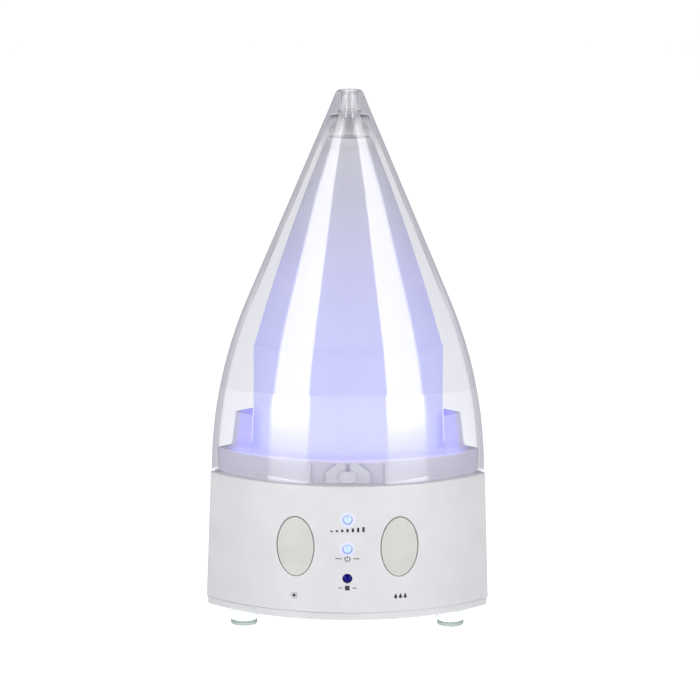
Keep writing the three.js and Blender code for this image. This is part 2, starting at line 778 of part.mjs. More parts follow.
function capacitor() {
  const { x, y, radius, height } = capacitorPlace;
  return upright(radius, onDriver, onDriver + height, facets.small, x, y);
}

function powerInlet() {
  const wall = inset(baseLens(inletZ), baseWall);
  const face = halfDepth(wall, inletX + inletRadius) - inletSeat;
  const collarEnd = halfDepth(baseLens(inletZ), inletX + inletRadius) - gap;
  const socketEnd = collarEnd - inletSocketDepth;
  const { halfWidth, halfHeight, depth } = inletBody;
  const low = [inletX - halfWidth, face - depth, inletZ - halfHeight];
  const body = block(low, [inletX + halfWidth, face, inletZ + halfHeight]);
  const collar = back(inletRadius, face - overrun, collarEnd, facets.medium, inletX, inletZ);
  const socket = back(inletSocketRadius, socketEnd, collarEnd + overrun, facets.small, inletX, inletZ);
  const pinEnd = collarEnd - inletPinRecess;
  const pin = back(inletPinRadius, socketEnd - overrun, pinEnd, facets.tiny, inletX, inletZ);
  return joined(cut(joined(body, collar), socket), pin);
}

// ---------------------------------------------------------------- water tray
const earFootLens = lens(earReach, earRatio);
const earTopLens = lens(earReach - earLean, earRatio);
const earInside = domeHalfWidth + domeFootFlare + earClearance;
const earInsideTop = domeHalfWidth + earClearance;
const recessFront = -trayLens.s + catchRecessDepth;
const floatCapZ = basinFloor + gap + floatHeight + floatTravel + trayWall;

function waterTray() {
  const flangeUnder = flangeTop - trayWall;
  const rings = [
    lensRing(inset(basinLens(basinFloor), -trayWall), innerCorner, basinUnderside),
    lensRing(inset(basinLens(flangeUnder), -trayWall), innerCorner, flangeUnder),
    lensRing(inset(trayLens, trayWall), innerCorner, flangeUnder),
    lensRing(inset(trayLens, trayWall), innerCorner, trayBottom),
    lensRing(trayLens, coverCorner, trayBottom),
    lensRing(trayLens, coverCorner, flangeTop - earRootRadius),
    lensRing(inset(trayLens, earRootRadius), coverCorner, flangeTop),
    lensRing(inset(earFootLens, -earRootRadius), coverCorner, flangeTop),
    lensRing(earFootLens, coverCorner, flangeTop + earRootRadius),
    lensRing(earTopLens, coverCorner, earTop),
    lensRing(inset(earTopLens, trayWall), innerCorner, earTop),
    lensRing(inset(earFootLens, trayWall), innerCorner, flangeTop),
    lensRing(basinLens(flangeTop), innerCorner, flangeTop),
    lensRing(basinLens(basinFloor), innerCorner, basinFloor),
  ];
  const half = catchRecessHalfWidth;
  const cheek = halfDepth(inset(trayLens, catchBackingInset), half + trayWall);
  const backing = block(
    [-half - trayWall, -cheek, trayBottom],
    [half + trayWall, recessFront + catchBackingThickness, flangeUnder + overrun],
  );
  const recessLow = [-half, -trayLens.s - overrun, trayBottom - overrun];
  const recess = block(recessLow, [half, recessFront, flangeUnder]);
  const below = basinUnderside - overrun;
  const window = upright(transducerWindowRadius, below, basinFloor + overrun, facets.medium);
  const tray = cut(joined(loft(rings, false), backing), recess, window, betweenEars());
  const portTop = flangeTop + portAboveFlange;
  const port = upright(portRadius, basinUnderside, portTop, facets.medium, portX, 0);
  const bore = upright(portRadius - portWall, below, portTop + overrun, facets.medium, portX, 0);
  const post = upright(floatPostRadius, basinFloor - overrun, floatCapZ, facets.fine, floatX, 0);
  return cut(joined(tray, port, post, earShelf(-1), earShelf(1)), bore);
}

// What is cut away between the two ears. Its sides follow the flare of the dome's foot.
function betweenEars() {
  const corners = [[-1, -1], [1, -1], [1, 1], [-1, 1]];
  const ring = (half, z) => corners.map(([i, j]) => new THREE.Vector3(i * half, j * trayLens.s, z));
  const top = earTop + overrun;
  return loft([ring(earInside, flangeTop), ring(earInsideTop, earTop), ring(earInsideTop, top)], false);
}

function earShelf(side) {
  const high = earTop - earShelfDrop;
  const low = high - earShelfThickness;
  const [near, far] = [side * earInside, side * (earInside + earShelfDepth)];
  const slab = block([Math.min(near, far), -trayLens.s, low], [Math.max(near, far), trayLens.s, high]);
  const inside = inset(earTopLens, trayWall / 2);
  const rings = [low - overrun, high + overrun].map((z) => lensRing(inside, innerCorner, z));
  return slab.intersect(loft(rings, false));
}

function waterFloat() {
  const low = basinFloor + gap;
  const bore = floatPostRadius + floatBoreClearance;
  return uprightTube(floatRadius, bore, low, low + floatHeight, facets.medium, floatX);
}

function floatCap() {
  return upright(floatCapRadius, floatCapZ + gap, floatCapZ + trayWall, facets.small, floatX);
}

function traySeal() {
  const [low, high] = [baseTop - deckThickness, baseTop - gap];
  const outer = inset(deckHole, gap);
  const wall = inset(basinLens(baseTop), -trayWall - gap);
  return loft(
    [
      lensRing(outer, innerCorner, low),
      lensRing(outer, innerCorner, high),
      lensRing(wall, innerCorner, high),
      lensRing(wall, innerCorner, low),
    ],
    true,
  );
}

function frontCatch() {
  const bottom = trayBottom + gap;
  const top = flangeTop - trayWall - gap;
  const shoulder = bottom + (top - bottom) * catchShoulderShare;
  const outline = [
    [-catchHalfWidth, bottom],
    [catchHalfWidth, bottom],
    [catchHalfWidth, shoulder],
    [catchTopHalfWidth, top],
    [-catchTopHalfWidth, top],
    [-catchHalfWidth, shoulder],
  ];
  const faceBack = recessFront - gap;
  const plate = panel(outline, faceBack - catchThickness, faceBack);
  const slot = block(
    [-catchSlotHalfWidth, faceBack - catchThickness - overrun, top - catchSlotLength],
    [catchSlotHalfWidth, faceBack + overrun, top + overrun],
  );
  return cut(plate, slot);
}

function catchPlug() {
  const half = catchPlugHalfWidth;
  const bevel = catchPlugBevel;
  const low = trayBottom + catchPlugLift;
  const high = low + catchPlugHeight;
  const outline = [
    [-half + bevel, low],
    [half - bevel, low],
    [half, low + bevel],
    [half, high - bevel],
    [half - bevel, high],
    [-half + bevel, high],
    [-half, high - bevel],
    [-half, low + bevel],
  ];
  const plugBack = recessFront - 2 * gap - catchThickness;
  return panel(outline, plugBack - catchPlugThickness, plugBack);
}

// ---------------------------------------------------------------- mist maker and mood light
const sealTop = basinUnderside - gap;
const discTop = sealTop - sealLipThickness;
const sealBottom = discTop - transducerThickness - 2 * gap - sealLipThickness;

function transducerDisc() {
  return upright(transducerRadius, discTop - gap - transducerThickness, discTop - gap, facets.medium);
}

function transducerSeal() {
  const lip = transducerWindowRadius - gap;
  const groove = transducerRadius + gap;
  const outer = transducerRadius + sealWall;
  const floor = sealBottom + sealLipThickness;
  const profile = [
    [lip, sealBottom],
    [outer, sealBottom],
    [outer, sealTop],
    [lip, sealTop],
    [lip, discTop],
    [groove, discTop],
    [groove, floor],
    [lip, floor],
    [lip, sealBottom],
  ];
  return turned(profile, facets.medium);
}

function transducerClamp() {
  const top = sealBottom - gap;
  const outer = transducerRadius + clampOverhang;
  return uprightTube(outer, transducerWindowRadius, top - clampThickness, top, facets.medium);
}

const moodBoardZ = basinUnderside - moodBoard.belowBasin;

function moodLightBoard() {
  const { halfLength, front, rear } = moodBoard;
  return block([-halfLength, front, moodBoardZ], [halfLength, rear, moodBoardZ + boardThickness]);
}

function moodLamp(x) {
  const low = moodBoardZ + boardThickness + gap;
  const profile = [[0, low], ...moodLampProfile.map(([radius, rise]) => [radius, low + rise])];
  return turned(profile, facets.fine, x, (moodBoard.front + moodBoard.rear) / 2);
}

function floatSensor() {
  const { width, depth, height } = floatSensorSize;
  const top = basinUnderside - gap;
  return block([floatX - width / 2, -depth / 2, top - height], [floatX + width / 2, depth / 2, top]);
}

// ---------------------------------------------------------------- mist dome
const domeTopLens = lens(domeTopHalfWidth, domeTopRatio);
const domeMouth = inset(domeTopLens, domeMouthMargin);
const domeFlareTop = domeBottom + domeFlareHeight;

// The dome's section: upright from its foot to the shoulder, then a slightly bulging slope.
function domeLens(z) {
  if (z <= domeShoulder) {
    const flare = Math.max(0, (domeFlareTop - z) / (domeFlareTop - domeBottom));
    return lens(domeHalfWidth + domeFootFlare * flare, domeRatio);
  }
  const rise = (z - domeShoulder) / (domeTop - domeShoulder);
  const start = domeHalfWidth - domeShoulderStep;
  const straight = start + (domeTopHalfWidth - start) * rise;
  const roundness = Math.max(0, (rise - domeRoundFrom) / (1 - domeRoundFrom));
  const ratio = domeRatio + (domeTopRatio - domeRatio) * roundness;
  return lens(straight + 4 * domeBulge * rise * (1 - rise), ratio);
}

function innerDome() {
  const slope = levels(domeShoulder + domeShoulderHeight, domeTop, 7);
  const heights = [domeBottom, domeFlareTop, domeShoulder, ...slope];
  const outer = heights.map((z) => lensRing(domeLens(z), domeCorner, z));
  const roof = domeTop - domeWall;
  const inner = [...heights.slice(0, -1), roof]
    .reverse()
    .map((z) => lensRing(inset(domeLens(z), domeWall), innerCorner, z));
  const mouth = [domeTop, roof].map((z) => lensRing(domeMouth, innerCorner, z));
  return loft([...outer, ...mouth, ...inner], true);
}

// A hollow spigot: a plug in the dome's mouth, a waist and a round neck that enters the cover's tip.
function mistNozzle() {
  const foot = domeTop - nozzlePlugDepth;
  const base = domeTop + gap;
  const waist = base + nozzleCollarHeight;
  const neck = coverCeiling - nozzleNeckBelowCeiling;
  const top = coverCeiling + spigotDepth - nozzleBelowOutlet;
  const plug = inset(domeMouth, nozzlePlugClearance);
  const plugBore = inset(plug, nozzleWall);
  const collar = inset(domeMouth, -nozzleCollar);
  return loft(
    [
      lensRing(plug, innerCorner, foot),
      lensRing(plug, innerCorner, base),
      lensRing(collar, innerCorner, base),
      lensRing(inset(collar, nozzleDraft), innerCorner, waist),
      roundRing(spigotRadius, neck),
      roundRing(spigotRadius, top),
      roundRing(outletRadius, top),
      roundRing(outletRadius, neck),
      lensRing(plugBore, innerCorner, waist),
      lensRing(plugBore, innerCorner, foot),
    ],
    true,
  );
}

// A drip shield across the upper dome that turns splashes back: a disc over a blunt cone, on two arms.
function splashBaffle() {
  const low = domeTop - baffleBelowTop;
  const high = low + baffleThickness;
  const armTop = low + baffleArmHeight;
  const reach = inset(domeLens(armTop), domeWall).a - baffleClearance;
  const radius = inset(domeLens(high), domeWall).s - baffleClearance;
  const coneFoot = low - baffleConeHeight;
  const profile = [
    [0, coneFoot],
    [baffleTipRadius, coneFoot + baffleTipHeight],
    [radius, low],
    [radius, high],
    [0, high],
  ];
  const arms = block([-reach, -baffleArmHalfThickness, low], [reach, baffleArmHalfThickness, armTop]);
  return joined(turned(profile, facets.medium), arms);
}

// ---------------------------------------------------------------- cover
function coverHalfWidthAt(z) {
  const rise = z - coverBottom;
  const down = (overallHeight - z) / (overallHeight - touch.z);
  const onLine = tipRadius + (touch.x - tipRadius) * down;
  return z < touch.z ? arcCentreX + Math.sqrt(coverArcRadius ** 2 - rise ** 2) : onLine;
}

// Near the tip the front and back draw in more slowly than the corners, until the plan is round.
const blendStart = overallHeight - tipBlendHeight;
const depthAtBlend = coverHalfWidthAt(blendStart) * planRatio;

function coverLens(z) {
  const a = coverHalfWidthAt(z);
  const down = (overallHeight - z) / tipBlendHeight;
  const tipDepth = tipDepthShare * tipRadius;
  const rounding = tipDepth + (depthAtBlend - tipDepth) * down;
  return { a, s: z < blendStart ? a * planRatio : rounding };
}

function outerCover() {
  const lipTop = coverBottom + coverLipHeight;
  const lipHalfWidth = coverHalfWidth + coverLip;
  const lip = { a: lipHalfWidth, s: lipHalfWidth * planRatio - coverLipInset };
  const arc = levels(lipTop + coverLipCorner, touch.z, 6);
  const cone = [(touch.z + blendStart) / 2, blendStart, (blendStart + coverCeiling) / 2];
  const outerLevels = [...arc, ...cone, coverCeiling, overallHeight - tipChamfer];
  const innerLevels = [coverBottom, ...arc.slice(1), ...cone, coverCeiling].reverse();
  const outer = outerLevels.map((z) => lensRing(coverLens(z), coverCorner, z));
  const inner = innerLevels.map((z) => lensRing(inset(coverLens(z), coverWall), innerCorner, z));
  const socket = spigotRadius + spigotClearance;
  const tip = [
    roundRing(tipRadius - tipChamfer, overallHeight),
    roundRing(outletRadius, overallHeight),
    roundRing(outletRadius, coverCeiling + spigotDepth),
    roundRing(socket, coverCeiling + spigotDepth),
    roundRing(socket, coverCeiling),
  ];
  const foot = [
    lensRing(lip, coverLipCorner, coverBottom),
    lensRing(lip, coverLipCorner, lipTop),
  ];
  return loft([...foot, ...outer, ...tip, ...inner], true);
}

// ---------------------------------------------------------------- materials
function plastic(color, roughness, opacity = 1) {
  return new THREE.MeshStandardMaterial({
    color,
    roughness,
    metalness: 0,
    opacity,
    transparent: opacity < 1,
  });
}

function metal(color, roughness) {
  return new THREE.MeshStandardMaterial({ color, roughness, metalness: 1 });
}

const materials = {
  white: () => plastic(0xe6e6ea, 0.3),
  button: () => plastic(0xd8d8d2, 0.35),
  clear: () => plastic(0xe8e8f2, 0.05, 0.3),
  tray: () => plastic(0xc8c8f4, 0.2, 0.6),
  frosted: () => plastic(0xbcbcff, 0.6, 0.85),
  footClear: () => plastic(0xeaf6f6, 0.3, 0.8),
  rubber: () => plastic(0xb4beb8, 0.8),
  black: () => plastic(0x1c1c20, 0.5),
  board: () => plastic(0x1f5a38, 0.55),
  paleLamp: () => plastic(0xd0f0ff, 0.1),
  darkLamp: () => plastic(0x0a0082, 0.1),
  ceramic: () => plastic(0xd8c8a0, 0.4),
  steel: () => metal(0xb8bcc0, 0.35),
  aluminium: () => metal(0xc8cacc, 0.4),
};

// ---------------------------------------------------------------- assembly
function piece(name, made, material) {
  const mesh = made.getMesh();
  const shape = new THREE.BufferGeometry();
  shape.setAttribute("position", new THREE.BufferAttribute(mesh.vertProperties, 3));
  shape.setIndex(new THREE.BufferAttribute(mesh.triVerts, 1));
  shape.computeVertexNormals();
  const node = new THREE.Mesh(shape, materials[material]());
  node.name = name;
  return node;
}

function assembly(name, ...pieces) {
  const group = new THREE.Group();
  group.name = name;
  group.add(...pieces);
  return group;
}

const casing = assembly(
  "casing",
  piece("base_shell", baseShell(), "white"),
  piece("base_plate", basePlate(), "white"),
  ...feet.flatMap(([place, x, y]) => [
    piece(`foot_${place}`, foot(x, y), "footClear"),
    piece(`foot_pad_${place}`, footPad(x, y), "rubber"),
  ]),
  ...screwPlaces.map(([place, x, y]) => piece(`base_screw_${place}`, baseScrew(x, y), "steel")),
);
const controls = assembly(
  "controls",
  piece("light_button", button(-buttonX), "button"),
  piece("mist_button", button(buttonX), "button"),
  piece("light_switch", pushSwitch(-buttonX), "black"),
  piece("mist_switch", pushSwitch(buttonX), "black"),
  piece("mist_level_lamp", lamp(lampZ[0]), "paleLamp"),
  piece("power_lamp", lamp(lampZ[1]), "paleLamp"),
  piece("stop_lamp", lamp(lampZ[2]), "darkLamp"),
  piece("control_board", controlBoard(), "board"),
  ...boardPlaces.map(([x, z], index) => piece(`board_screw_${index + 1}`, boardScrew(x, z), "steel")),
);
const machinery = assembly(
  "machinery",
  piece("fan_frame", fanFrame(), "black"),
  piece("fan_impeller", fanImpeller(), "black"),
  piece("fan_duct", fanDuct(), "white"),
  piece("driver_board", driverBoardPlate(), "board"),
  piece("heat_sink", heatSink(), "aluminium"),
  piece("inductor", inductor(), "black"),
  piece("capacitor", capacitor(), "black"),
  piece("power_inlet", powerInlet(), "black"),
);
const tray = assembly(
  "tray",
  piece("water_tray", waterTray(), "tray"),
  piece("tray_seal", traySeal(), "rubber"),
  piece("front_catch", frontCatch(), "clear"),
  piece("catch_plug", catchPlug(), "clear"),
  piece("float_ring", waterFloat(), "white"),
  piece("float_cap", floatCap(), "white"),
  piece("float_sensor", floatSensor(), "black"),
  piece("transducer_disc", transducerDisc(), "ceramic"),
  piece("transducer_seal", transducerSeal(), "rubber"),
  piece("transducer_clamp", transducerClamp(), "steel"),
  piece("mood_light_board", moodLightBoard(), "board"),
  ...moodLampX.map((x, index) => piece(`mood_lamp_${index + 1}`, moodLamp(x), "paleLamp")),
);
const top = assembly(
  "top",
  piece("inner_dome", innerDome(), "frosted"),
  piece("mist_nozzle", mistNozzle(), "clear"),
  piece("splash_baffle", splashBaffle(), "frosted"),
  piece("outer_cover", outerCover(), "clear"),
);

export default assembly("cool_mist_humidifier", casing, controls, machinery, tray, top);
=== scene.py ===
"""A cool mist humidifier: clear drop-shaped cover, lit frosted dome, white base. Metres, front to -Y."""
import json
import math

import bmesh
import bpy
from mathutils import Matrix, Vector


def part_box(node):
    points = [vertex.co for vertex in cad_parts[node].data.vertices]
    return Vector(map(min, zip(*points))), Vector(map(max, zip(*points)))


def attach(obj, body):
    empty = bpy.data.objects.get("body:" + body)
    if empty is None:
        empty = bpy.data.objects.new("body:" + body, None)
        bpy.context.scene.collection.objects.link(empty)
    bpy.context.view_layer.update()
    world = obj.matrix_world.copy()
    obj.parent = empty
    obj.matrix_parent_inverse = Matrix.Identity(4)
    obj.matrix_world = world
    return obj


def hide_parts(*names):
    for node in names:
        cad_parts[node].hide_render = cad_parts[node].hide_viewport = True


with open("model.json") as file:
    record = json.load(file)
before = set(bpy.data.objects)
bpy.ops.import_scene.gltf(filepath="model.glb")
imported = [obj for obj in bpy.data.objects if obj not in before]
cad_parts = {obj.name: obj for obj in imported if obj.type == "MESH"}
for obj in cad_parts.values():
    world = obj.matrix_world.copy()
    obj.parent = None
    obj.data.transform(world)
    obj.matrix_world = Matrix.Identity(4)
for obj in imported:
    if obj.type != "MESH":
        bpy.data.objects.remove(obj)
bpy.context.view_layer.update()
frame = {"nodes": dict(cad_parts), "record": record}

NODES = frame["nodes"]

# ------------------------------------------------------------------ sizes that the boxes don't give
GAP = 0.0003  # between pieces that touch
OVERRUN = 0.001  # how far a cutter runs past the face it opens
SPECK = 0.0001  # radius that closes a turned shape on its axis
# cover
COVER_ARC_RADIUS = 0.250
COVER_HALF_WIDTH = 0.0754
COVER_WALL = 0.002
COVER_CORNER = 0.0012
LIP_HALF_WIDTH = 0.077
LIP_INSET = 0.00035
LIP_HEIGHT = 0.0013
LIP_EDGE = 0.0004
LIP_STEP = 0.0003  # height over which the lip runs into the wall
TIP_RADIUS = 0.007
TIP_CHAMFER = 0.0007
TIP_SOLID = 0.0138
TIP_BLEND = 0.056
TIP_DEPTH_SHARE = 0.98  # depth over width at the tip
UNDER_TIP = 0.02  # below the solid tip, where its tint fades out
THICK_DULLS = 0.3  # share of the mirror lost where the plastic is thick
OUTLET_RADIUS = 0.0046
SPIGOT_RADIUS = 0.0057
SOCKET_RADIUS = 0.0061
SOCKET_DEPTH = 0.0027
# base
PLAN_RATIO = 0.45  # depth over width
BASE_WALL = 0.0024
BASE_CORNER = 0.0016
BASE_TAPER = 0.0024
BASE_EDGE = 0.0007
BASE_FOOT_EDGE = 0.00015
DECK_THICKNESS = 0.0022
PLATE_THICKNESS = 0.0024
PLATE_EDGE = 0.0012
PLATE_RIM = 0.0002
PLATE_GAP = 0.0001  # below the casing
SLOT_COUNT = 7
SLOT_PITCH = 0.005
SLOT_HALF_WIDTH = 0.0013
SLOT_HALF_LENGTH = 0.014
SCREW_SEAT_RADIUS = 0.0031
SCREW_SEAT_DEPTH = 0.0022
SCREW_HOLE_RADIUS = 0.0016
FOOT_SHOULDER = 0.0084
FOOT_PEG_RADIUS = 0.002
FOOT_EDGE = 0.0006
PAD_EDGE = 0.0005
INLET_RADIUS = 0.0048
# buttons and lamps
BUTTON_GAP = 0.00035
BUTTON_PROUD = 0.0004
BUTTON_FLANGE = 0.0013
BUTTON_THICKNESS = 0.0032
BUTTON_EDGE = 0.0005
BUTTON_RIM = 0.91  # share of the half width where the rim starts
BUTTON_TRAVEL = 0.0008
STEM_RADIUS = 0.0022
LAMP_RADIUS = 0.0025
LAMP_GAP = 0.0002
LAMP_LENGTH = 0.007
LAMP_FLANGE = 0.001
LAMP_FLANGE_RADIUS = 0.00285
LAMP_LEG_RADIUS = 0.00025
LAMP_LEG_X = 0.00127
# reach of the painted glow round a lit lamp
HALO_RADIUS = 0.0052
# symbols
BUTTON_MARK_X = 0.0292
BUTTON_MARK_Z = 0.0222
SYMBOL_DROP = 0.0053  # from a lamp's middle to its symbol's
INK_DEPTH = 0.0001
INK_PROUD = 0.00003
STROKE = 0.00045
# tray
TRAY_RATIO = 0.435
TRAY_WALL = 0.002
FLANGE_TOP = 0.0985
FLANGE_EDGE = 0.0008
EAR_FOOT = 0.0642
EAR_LEAN = 0.0023
EAR_INSIDE = 0.0536
EAR_INSIDE_TOP = 0.0527
EAR_RIM = 0.0004
SHELF_DROP = 0.0055
SHELF_DEPTH = 0.0049
SHELF_THICKNESS = 0.0012
BASIN_HALF_WIDTH = 0.049
BASIN_RATIO = 0.41
BASIN_DRAFT = 0.0008
RECESS_HALF_WIDTH = 0.0202
RECESS_CHEEK = 0.0004
BACKING_THICKNESS = 0.0018
POST_RADIUS = 0.0022
PORT_X = -0.030
PORT_RADIUS = 0.0066
PORT_WALL = 0.0016
PORT_RISE = 0.0075
WINDOW_RADIUS = 0.008
# dome and nozzle
DOME_HALF_WIDTH = 0.0521
DOME_FLARE = 0.0009
DOME_FLARE_HEIGHT = 0.02
DOME_SHOULDER_RISE = 0.0577  # above the flange
DOME_STEP = 0.0005  # inwards at the shoulder
DOME_STEP_HEIGHT = 0.0006
DOME_RATIO = 0.42
DOME_TOP_RATIO = 0.6
DOME_WALL = 0.0018
DOME_TOP_HALF_WIDTH = 0.0121
DOME_BULGE = 0.002
DOME_ROUND_FROM = 0.85
MOUTH_MARGIN = 0.0018
PLUG_CLEARANCE = 0.0004
NOZZLE_WALL = 0.0012
NOZZLE_DRAFT = 0.0004
NOZZLE_WAIST = 0.005
NOZZLE_NECK = 0.0028  # below its top
# CAD nodes that keep their shape
CAD_EDGE = 0.0003
FINE_EDGE = {"catch_plug": 0.00012, "front_catch": 0.0002}
# studio
WEDGE_ANGLES = (26, 52)  # from straight ahead, where the floor's painted glow starts and stops
# strength of the painted glow in the floor wedges
WEDGE_GLOW = 3.8
AIM = Vector((0, 0, 0.15))
CAMERA_TARGET = Vector((0.0009, 0, 0.15335))
CAMERA_DISTANCE = 2.189
CAMERA_PITCH = 11.8
CAMERA_ROLL = 0.25
CAMERA_LENS = 204.7
SOFTBOXES = {  # azimuth, elevation, distance, width, height, power
    "front_softbox_left": (-39, 12.6, 2.0, 0.92, 1.2, 16.4),
    "front_softbox_right": (39, 12.6, 2.0, 0.92, 1.2, 16.4),
    "top_softbox": (0, 85, 2.2, 2.4, 2.0, 15),
    "back_softbox_left": (-140, 25, 2.4, 0.9, 1.2, 6),
    "back_softbox_right": (140, 25, 2.4, 0.9, 1.2, 6),
}
# sections
INNER_CORNER = 0.0006
ARC_STEPS = 64
CORNER_STEPS = 6


# ------------------------------------------------------------------ lens sections
class Lens:
    """Two equal arcs that meet in a narrow corner at the left and right."""

    def __init__(self, half_width, depth):
        self.a = half_width
        self.s = depth

    def radius(self):
        return (self.a ** 2 + self.s ** 2) / (2 * self.s)

    def inset(self, by):
        """The lens whose arcs lie this far inside, measured square to the wall."""
        radius = self.radius()
        off_centre = radius - self.s
        return Lens(math.sqrt((radius - by) ** 2 - off_centre ** 2), self.s - by)

    def depth_at(self, x):
        radius = self.radius()
        return math.sqrt(radius ** 2 - x ** 2) - (radius - self.s)


def lens_of(half_width, ratio):
    return Lens(half_width, half_width * ratio)


def lens_ring(lens, corner, z):
    """Points round a lens with rounded corners."""
    core = Lens(lens.a - corner, lens.s - corner)
    radius = core.radius()
    off_centre = radius - core.s
    reach = math.asin(core.a / radius)
    turn = math.pi / 2 - reach
    points = []
    for side in (1, -1):
        for step in range(ARC_STEPS + 1):
            angle = side * reach * (2 * step / ARC_STEPS - 1)
            y = side * (off_centre - (radius + corner) * math.cos(angle))
            points.append(Vector(((radius + corner) * math.sin(angle), y, z)))
        for step in range(1, CORNER_STEPS):
            angle = turn * (2 * step / CORNER_STEPS - 1)
            x = side * (core.a + corner * math.cos(angle))
            points.append(Vector((x, side * corner * math.sin(angle), z)))
    return points


def ring_depth(lens, corner, x):
    """How far a ring with rounded corners reaches to the front at x."""
    core = Lens(lens.a - corner, lens.s - corner)
    radius = core.radius()
    return math.sqrt((radius + corner) ** 2 - x ** 2) - (radius - core.s)


def round_ring(radius, z):
    """A circle with as many points as a lens ring, in step with it."""
    count = 2 * (ARC_STEPS + CORNER_STEPS)
    shift = CORNER_STEPS / 2
    points = []
    for index in range(count):
        angle = math.pi + (index + shift) * 2 * math.pi / count
        points.append(Vector((radius * math.cos(angle), radius * math.sin(angle), z)))
    return points


def spread(start, stop, count):
    """Evenly spaced numbers, both ends included."""
    return [start + (stop - start) * step / count for step in range(count + 1)]


# ------------------------------------------------------------------ meshes
def new_object(name, shape):
    bmesh.ops.remove_doubles(shape, verts=shape.verts, dist=1e-7)
    bmesh.ops.recalc_face_normals(shape, faces=shape.faces)
    mesh = bpy.data.meshes.new(name)
    shape.to_mesh(mesh)
    shape.free()
    made = bpy.data.objects.new(name, mesh)
    bpy.context.scene.collection.objects.link(made)
    return made


def past(value, start):
    """Rises from 0 to 1 from just before the start to just after it."""
    return max(0.0, min(1.0, (value - start + 0.0004) / 0.0006))


def smooth(made, angle=30):
    mesh = made.data
    mesh.polygons.foreach_set("use_smooth", [True] * len(mesh.polygons))
    mesh.set_sharp_from_angle(angle=math.radians(angle))
    return made


def add_loft(shape, rings, closed=False):
    """Skins a row of rings. Open rows are capped at both ends; closed rows join last to first."""
    rows = [[shape.verts.new(point) for point in ring] for ring in rings]
    count = len(rows[0])
    spans = len(rows) if closed else len(rows) - 1
    for row in range(spans):
        above = rows[(row + 1) % len(rows)]
        for index in range(count):
            following = (index + 1) % count
            shape.faces.new((rows[row][index], rows[row][following], above[following], above[index]))
    if not closed:
        shape.faces.new(list(reversed(rows[0])))
        shape.faces.new(rows[-1])


def lofted(name, rings, closed=False, angle=30):
    shape = bmesh.new()
    add_loft(shape, rings, closed)
    return smooth(new_object(name, shape), angle)


def marked(made, name, share_at):
    """Stores a share from 0 to 1 at each vertex, for a material to read."""
    marks = made.data.attributes.new(name, "FLOAT", "POINT")
    for index, vertex in enumerate(made.data.vertices):
        marks.data[index].value = share_at(vertex.co)
    return made


def turned(name, profile, centre, steps):
    """A profile of (radius, height) pairs turned about +Z."""
    shape = bmesh.new()
    add_turned(shape, profile, centre, False, steps)
    return smooth(new_object(name, shape))


def add_turned(shape, profile, centre, back, steps):
    """Adds a profile turned about +Z, or about +Y if back is set."""
    rings = []
    for radius, height in profile:
        ring = []
        for step in range(steps):
            angle = 2 * math.pi * step / steps
            across, along = radius * math.cos(angle), radius * math.sin(angle)
            point = (across, height, -along) if back else (across, along, height)
            ring.append(Vector(point) + Vector(centre))
        rings.append(ring)
    add_loft(shape, rings)


def fillet(radius, steps=5):
    """(inwards, upwards) offsets round a quarter turn, from the wall to the top."""
    angles = spread(0, math.pi / 2, steps)
    return [(radius * (1 - math.cos(angle)), radius * math.sin(angle)) for angle in angles]


def applied(made):
    """Bakes an object's modifiers into its mesh."""
    graph = bpy.context.evaluated_depsgraph_get()
    mesh = bpy.data.meshes.new_from_object(made.evaluated_get(graph))
    made.modifiers.clear()
    made.data = mesh
    return made


def combined(made, operation, others):
    """Joins the others to a piece or takes them out of it, and deletes them."""
    for other in others:
        modifier = made.modifiers.new("combine", "BOOLEAN")
        modifier.operation = operation
        modifier.solver = "EXACT"
        modifier.object = other
    applied(made)
    for other in others:
        bpy.data.objects.remove(other)
    return made


def carved(made, *tools):
    return combined(made, "DIFFERENCE", tools)


def joined_on(made, *others):
    return combined(made, "UNION", others)


def prism(outline, z0, z1):
    """A solid with the same (x, y) outline from z0 up to z1."""
    return lofted("prism", [[Vector((x, y, z)) for x, y in outline] for z in (z0, z1)])


def block(low, high):
    corners = [(low[0], low[1]), (high[0], low[1]), (high[0], high[1]), (low[0], high[1])]
    return prism(corners, low[2], high[2])


def rod(radius, z0, z1, x=0, y=0, steps=64):
    return turned("rod", [(radius, z0), (radius, z1)], (x, y, 0), steps)


def bevelled(made, width, angle=30):
    modifier = made.modifiers.new("edges", "BEVEL")
    modifier.width = width
    modifier.segments = 2
    modifier.limit_method = "ANGLE"
    modifier.angle_limit = math.radians(angle)
    modifier.use_clamp_overlap = False
    modifier.harden_normals = True
    return made


def hole_tool(centre, half_width, half_height, side=-1, steps=96):
    """A cutter for an oval hole through the base's wall, flared to round the hole's rim."""
    round_over = 0.0003
    layers = [(0.002, 0.003), (round_over, 0.0002)]
    layers += [(round_over - upwards, -inwards) for inwards, upwards in fillet(round_over, 4)]
    layers += [(0.0, -0.008)]
    rings = []
    for wider, proud in layers:
        ring = []
        for step in range(steps):
            angle = 2 * math.pi * step / steps
            x = centre[0] + (half_width + wider) * math.cos(angle)
            z = centre[1] + (half_height + wider) * math.sin(angle)
            ring.append(Vector((x, side * (base_depth(x, z) + proud), z)))
        rings.append(ring)
    return lofted("tool", rings)


# ------------------------------------------------------------------ materials
def linear(*values):
    """A linear colour from sRGB values of 0 to 255."""
    return tuple((v / 255 / 12.92) if v < 10 else ((v / 255 + 0.055) / 1.055) ** 2.4 for v in values)


